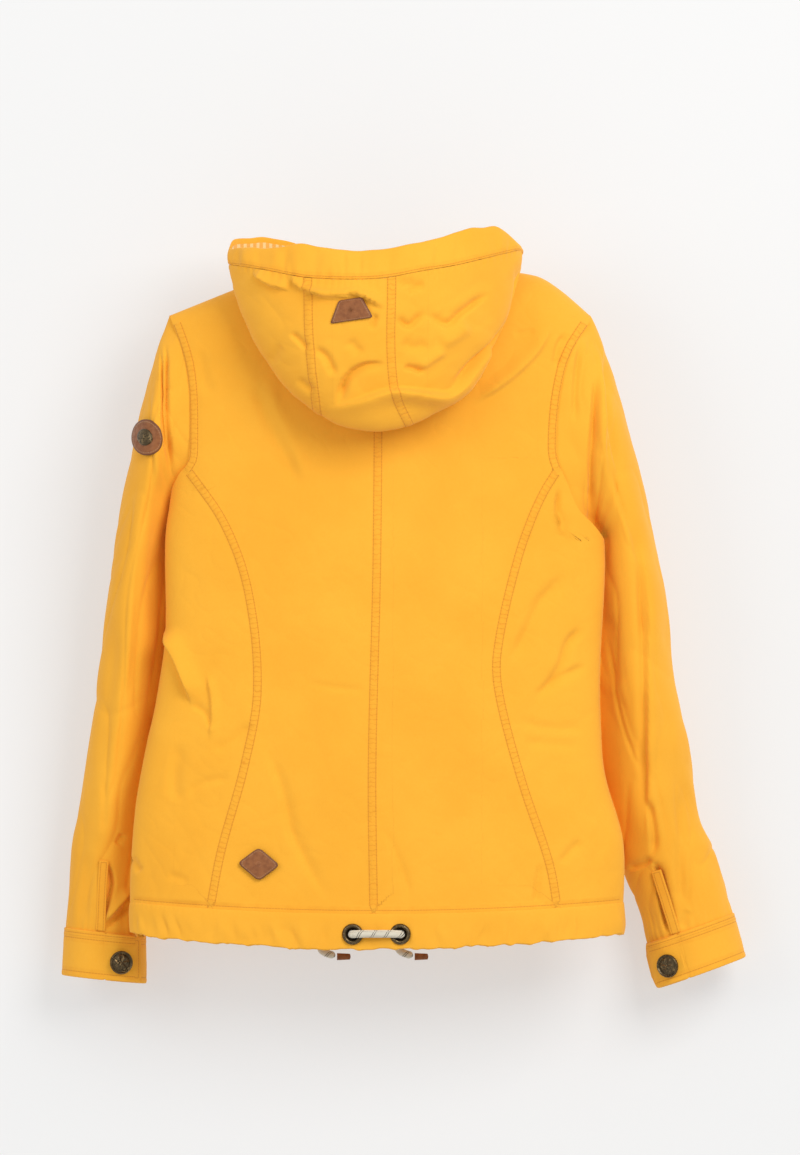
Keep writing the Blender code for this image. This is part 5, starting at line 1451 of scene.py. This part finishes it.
def hood_rim():
    low, high, first, last = rim_stations()
    run = distance_along(low)[:, None]
    up = high - low
    ahead = np.gradient(low, axis=0)
    out = np.cross(ahead, up)
    out /= np.linalg.norm(out, axis=1, keepdims=True)
    middle = np.array((0, -0.01, 0))
    turns = np.where((out[1:] * out[:-1]).sum(1) < 0, -1.0, 1.0)
    out[1:] *= np.cumprod(turns)[:, None]
    out *= np.sign(((low - middle) * out).sum())
    for _ in range(20):
        out[1:-1] = (out[:-2] + 2 * out[1:-1] + out[2:]) / 4
    out /= np.linalg.norm(out, axis=1, keepdims=True)
    turn = np.linspace(0, 1, 44, endpoint=False)[None, :]
    up_and_down = np.where(turn < 0.5, turn * 2, 2 - turn * 2)
    v = mix(0.5 - 0.5 * np.cos(turn * 2 * math.pi), up_and_down, 0.5)
    thick = np.where(turn < 0.5, 1.0, -0.55) * np.sin(math.pi * np.clip(up_and_down, 0, 1)) ** 0.6
    gather = noise(run, run * 0, 0.010, 601) - 1.2 * crumple(run, v * 0.008, 0.016, 603)
    fine = noise(run, run * 0, 0.0035, 604)
    pucker = (0.50 * fine * np.exp(-(v / 0.30) ** 2)
              + 0.75 * gather * np.sin(math.pi * np.clip(v, 0, 1))) * MM
    depth = thick * 0.0024 + np.where(turn < 0.5, 1.8 * pucker, -0.5 * pucker)
    wobble = 1.3 * noise(run, run * 0, 0.016, 602) * MM * smooth(v)
    points = (low[:, None] + up[:, None] * v[..., None] + out[:, None] * depth[..., None])
    points[..., 2] += wobble
    length = np.linalg.norm(up, axis=1)[:, None] * v / MM
    line = np.where(turn < 0.5, length - 2.2, NO_SEAM)
    obj = section_mesh("hood_rim", points, COTTON, seam_marks(line, run / MM))
    obj.data.materials.append(LINING)
    columns = points.shape[1]
    for polygon in obj.data.polygons:
        column = min(polygon.vertices) % columns
        if len(polygon.vertices) == 4 and column > columns * 0.62:
            polygon.material_index = 1
    hinged_at_neck(obj, "yellow_cotton", "hood_rim_casing")
    hood_neck(low, first, last)


def hood_neck(low, first, last):
    """The hood's lower part, from its rim or its pouch down to the neck's seam."""
    upper = low.copy()
    count = len(low)
    angle = np.zeros(count)
    x = low[first:last, 0]
    upper[first:last] = hood(x, 0 * x + 1.0)
    angle[first:last] = np.interp(x, [x[0], x[-1]], [-78, 78])
    angle[:first] = np.interp(np.arange(first), [0, first], [-174, -78])
    angle[last:] = np.interp(np.arange(count - last), [0, count - last - 1], [79, 174])
    lower = collar(angle, 0 * angle + mix(0.45, 0.85, smooth((np.abs(angle) - 60) / 90)))
    for _ in range(12):
        upper[1:-1] = (upper[:-2] + 2 * upper[1:-1] + upper[2:]) / 4
    v = np.linspace(0, 1, 26)[None, :, None]
    points = mix(upper[:, None], lower[:, None], v)
    sag = np.sin(math.pi * v[..., 0]) * 0.004 * smooth((140 - np.abs(angle[:, None])) / 40)
    points[..., 2] -= sag
    run = np.arange(count)[:, None] * 0.002
    points[..., 2] += 0.5 * MM * noise(run, v[..., 0] * 0.02, 0.012, 621) * np.sin(math.pi * v[..., 0])
    marks = seam_marks(NO_SEAM + 0 * points[..., 0], NO_SEAM, DOUBLE)
    obj = sheet_mesh("hood_neck", points, (0, 0, -0.2), COTTON, marks)
    hinged_at_neck(obj, "yellow_cotton")


hood_shell()
hood_rim()


# ---- patches ------------------------------------------------------------------------------------
def plate(name, outline, point_at, inside, gap, thickness, finish, dome=0.0):
    """A plate of a rounded outline [(x, z), ...], laid on a surface and slightly pillowed."""
    outline = np.array(outline)
    centre = outline.mean(axis=0)
    share = np.array([0.0001, 0.25, 0.5, 0.7, 0.8, 0.87, 0.93, 0.97, 1.0])[:, None]
    spots = centre + (outline[None] - centre) * share[..., None]
    surface = point_at(spots[..., 0], spots[..., 1])
    normal, _ = outward(surface, inside, False, True)
    normal[0] = normal[1].mean(axis=0) / np.linalg.norm(normal[1].mean(axis=0))
    lift = gap + thickness * (0.72 + 0.28 * np.sqrt(np.clip(1 - share**6, 0, 1))) + dome * (1 - share**2)
    face = surface + normal * lift[..., None]
    side_wall = surface[-1:] + normal[-1:] * gap * 0.5
    points = np.concatenate([face, side_wall])
    run = distance_along(outline) / MM
    marks = np.stack([np.concatenate([share, [[1.0]]]) + 0 * run[None],
                      run[None] + 0 * np.ones((10, 1)), 0 * run[None] + 0 * np.ones((10, 1))], -1)
    return section_mesh(name, points, finish, {"patch": marks})


def rounded(corners, radius, per_corner=12, per_side=14):
    """A polygon's outline with its corners rounded."""
    corners = [np.array(c, float) for c in corners]
    points = []
    for i, corner in enumerate(corners):
        before, after = corners[i - 1], corners[(i + 1) % len(corners)]
        a = corner + (before - corner) / np.linalg.norm(before - corner) * radius
        b = corner + (after - corner) / np.linalg.norm(after - corner) * radius
        points += [(1 - k) ** 2 * a + 2 * k * (1 - k) * corner + k * k * b
                   for k in np.linspace(0, 1, per_corner)]
        c = after + (corner - after) / np.linalg.norm(corner - after) * radius
        points += [mix(b, c, k) for k in np.linspace(0, 1, per_side)[1:-1]]
    return points


def patches():
    def on_hood(x, z):
        low, high = 0 * x, 0 * x + 0.5
        for _ in range(30):
            middle = (low + high) / 2
            above = hood(x, middle)[..., 2] > z
            low, high = np.where(above, middle, low), np.where(above, high, middle)
        return hood(x, low)

    x, z = HOOD_PATCH
    outline = rounded([(x - 0.0205, z - 0.0125), (x + 0.0195, z - 0.0065), (x + 0.009, z + 0.0125),
                       (x - 0.0125, z + 0.0095)], 0.003)
    inside = (HOOD_MIDDLE_X, HOOD_SEAT_Y - HOOD_HALF_DEPTH, -0.04)
    obj = plate("hood_leather_patch", outline, on_hood, inside, 0.0012, 0.0016, LEATHER)
    fitted(obj, "hood", "brown_leather", "hood_patch")

    def on_back(x, z):
        return np.stack([x, body_y(BACK, x, z), z], -1)
    x, z = HEM_PATCH
    outline = rounded([(x - 0.020, z + 0.001), (x, z + 0.016), (x + 0.020, z - 0.001), (x, z - 0.016)], 0.005)
    obj = plate("hem_leather_patch", outline, on_back, (0, 0, -0.5), 0.0014, 0.0016, LEATHER)
    fitted(obj, "torso", "brown_leather", "hem_patch")

    def on_sleeve(x, z):
        row, angle = 2.6 + 0 * x, -62 + 0 * x
        for _ in range(12):
            here = sleeve(LEFT, row, angle)
            by_row = (sleeve(LEFT, row + 0.01, angle) - here) / 0.01
            by_turn = (sleeve(LEFT, row, angle + 0.5) - here) / 0.5
            det = by_row[..., 0] * by_turn[..., 2] - by_turn[..., 0] * by_row[..., 2]
            dx, dz = x - here[..., 0], z - here[..., 2]
            row = row + (dx * by_turn[..., 2] - by_turn[..., 0] * dz) / det
            angle = angle + (by_row[..., 0] * dz - dx * by_row[..., 2]) / det
        return sleeve(LEFT, row, angle)

    x, z = ARM_PATCH
    inside = sleeve_middle(LEFT, 2.6)
    for name, share, finish, slot, gap, dome, node in (
            ("arm_leather_patch", 1.0, LEATHER, "brown_leather", 0.0020, 0.0004, "arm_patch"),
            ("arm_emblem", 0.46, BRASS, "antique_brass", 0.0038, 0.0006, "arm_patch_emblem")):
        outline = [(x + 0.0135 * share * math.cos(a), z + 0.0170 * share * math.sin(a))
                   for a in np.linspace(0, 2 * math.pi, 96, endpoint=False)]
        obj = plate(name, outline, on_sleeve, inside, gap, 0.0015, finish, dome)
        bend_at_shoulder(obj)
        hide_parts(node)


patches()


# ---- the front's pockets and zip ----------------------------------------------------------------
def pocket_welts():
    for side, word in HANDS.items():
        corners = [(side * 0.104, -0.405), (side * 0.126, -0.400), (side * 0.160, -0.545),
                   (side * 0.138, -0.550)]
        u, v = np.linspace(0, 1, 70)[:, None], np.linspace(0, 1, 20)[None, :]
        a, b, c, d = [np.array(p) for p in corners]
        spots = (mix(mix(a, d, u[..., None]), mix(b, c, u[..., None]), v[..., None]))
        x, z = spots[..., 0], spots[..., 1]
        flat = np.stack([x, body_y(FRONT, x, z), z], -1)
        normal, _ = outward(flat, (0, 0, -0.45))
        edge = np.minimum(np.minimum(v, 1 - v) * 22, np.minimum(u, 1 - u) * 148)
        soft = 0.5 * noise(u * 0.148, v * 0.022, 0.02, 701 + side) * MM
        groove = -0.35 * np.exp(-((edge - 3.0) / 0.8) ** 2) * MM
        points = flat + normal * (0.0034 + soft + groove)[..., None]
        obj = slab(f"welt_{word}", points, (0, 0, -0.45), 0.0022, COTTON,
                   seam_marks(edge - 3.0, u * 148))
        fitted(obj, "torso", "yellow_cotton", f"pocket_welt_{word}")


TEETH_PITCH = 0.0022


def zip_parts():
    for side, word in HANDS.items():
        heights = np.arange(ZIP_BOTTOM_Z + 0.001, ZIP_TOP_Z - 0.0008, TEETH_PITCH)
        heights = heights + (TEETH_PITCH / 2 if side == LEFT else 0)
        heights = heights[heights < ZIP_TOP_Z - 0.0006]
        turn = np.linspace(0, 2 * math.pi, 12, endpoint=False)
        length = np.linspace(0, 1, 5)
        width = np.array([0.35, 0.95, 1.0, 1.0, 0.8])
        local = np.stack([
            (side * mix(0.0004, 0.0042, length))[:, None] + 0 * turn[None],
            np.cos(turn)[None] * 0.0012 * width[:, None] + ZIP_PLANE_Y,
            np.sin(turn)[None] * 0.00082 * width[:, None]], -1).reshape(-1, 3)
        faces = grid_faces(5, 12, False, True)
        caps = [list(range(12))[::-1], list(range(48, 60))]
        points = np.concatenate([local + np.array((0, 0, h)) for h in heights])
        quads = np.concatenate([faces + 60 * i for i in range(len(heights))])
        if side == RIGHT:
            quads = quads[:, ::-1]
        everything = quads.tolist()
        for i in range(len(heights)):
            for cap in caps:
                shifted = [k + 60 * i for k in cap]
                everything.append(shifted[::-1] if side == RIGHT else shifted)
        teeth = emit(f"zip_teeth_{word}", points, everything, NYLON)
        fitted(teeth, "torso", "zip_nylon", f"zip_chain_{word}")
        u, v = np.linspace(0, 1, 200)[:, None], np.linspace(0, 1, 8)[None, :]
        x = side * mix(0.0034, 0.0170, v) + 0 * u
        z = mix(TAPE_TOP_Z, ZIP_BOTTOM_Z, u) + 0 * v
        points = np.stack([x, ZIP_PLANE_Y - 0.0003 + 0 * x, z], -1)
        tape = slab(f"zip_ribbon_{word}", points, (0, 0, -0.3), 0.0008, NYLON)
        fitted(tape, "torso", "zip_nylon", f"zip_tape_{word}")
    for node in ("zip_slider", "zip_pull", "zip_top_stop_left", "zip_top_stop_right", "zip_retainer"):
        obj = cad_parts[node]
        for slot in obj.material_slots:
            slot.material = BRASS


pocket_welts()
zip_parts()
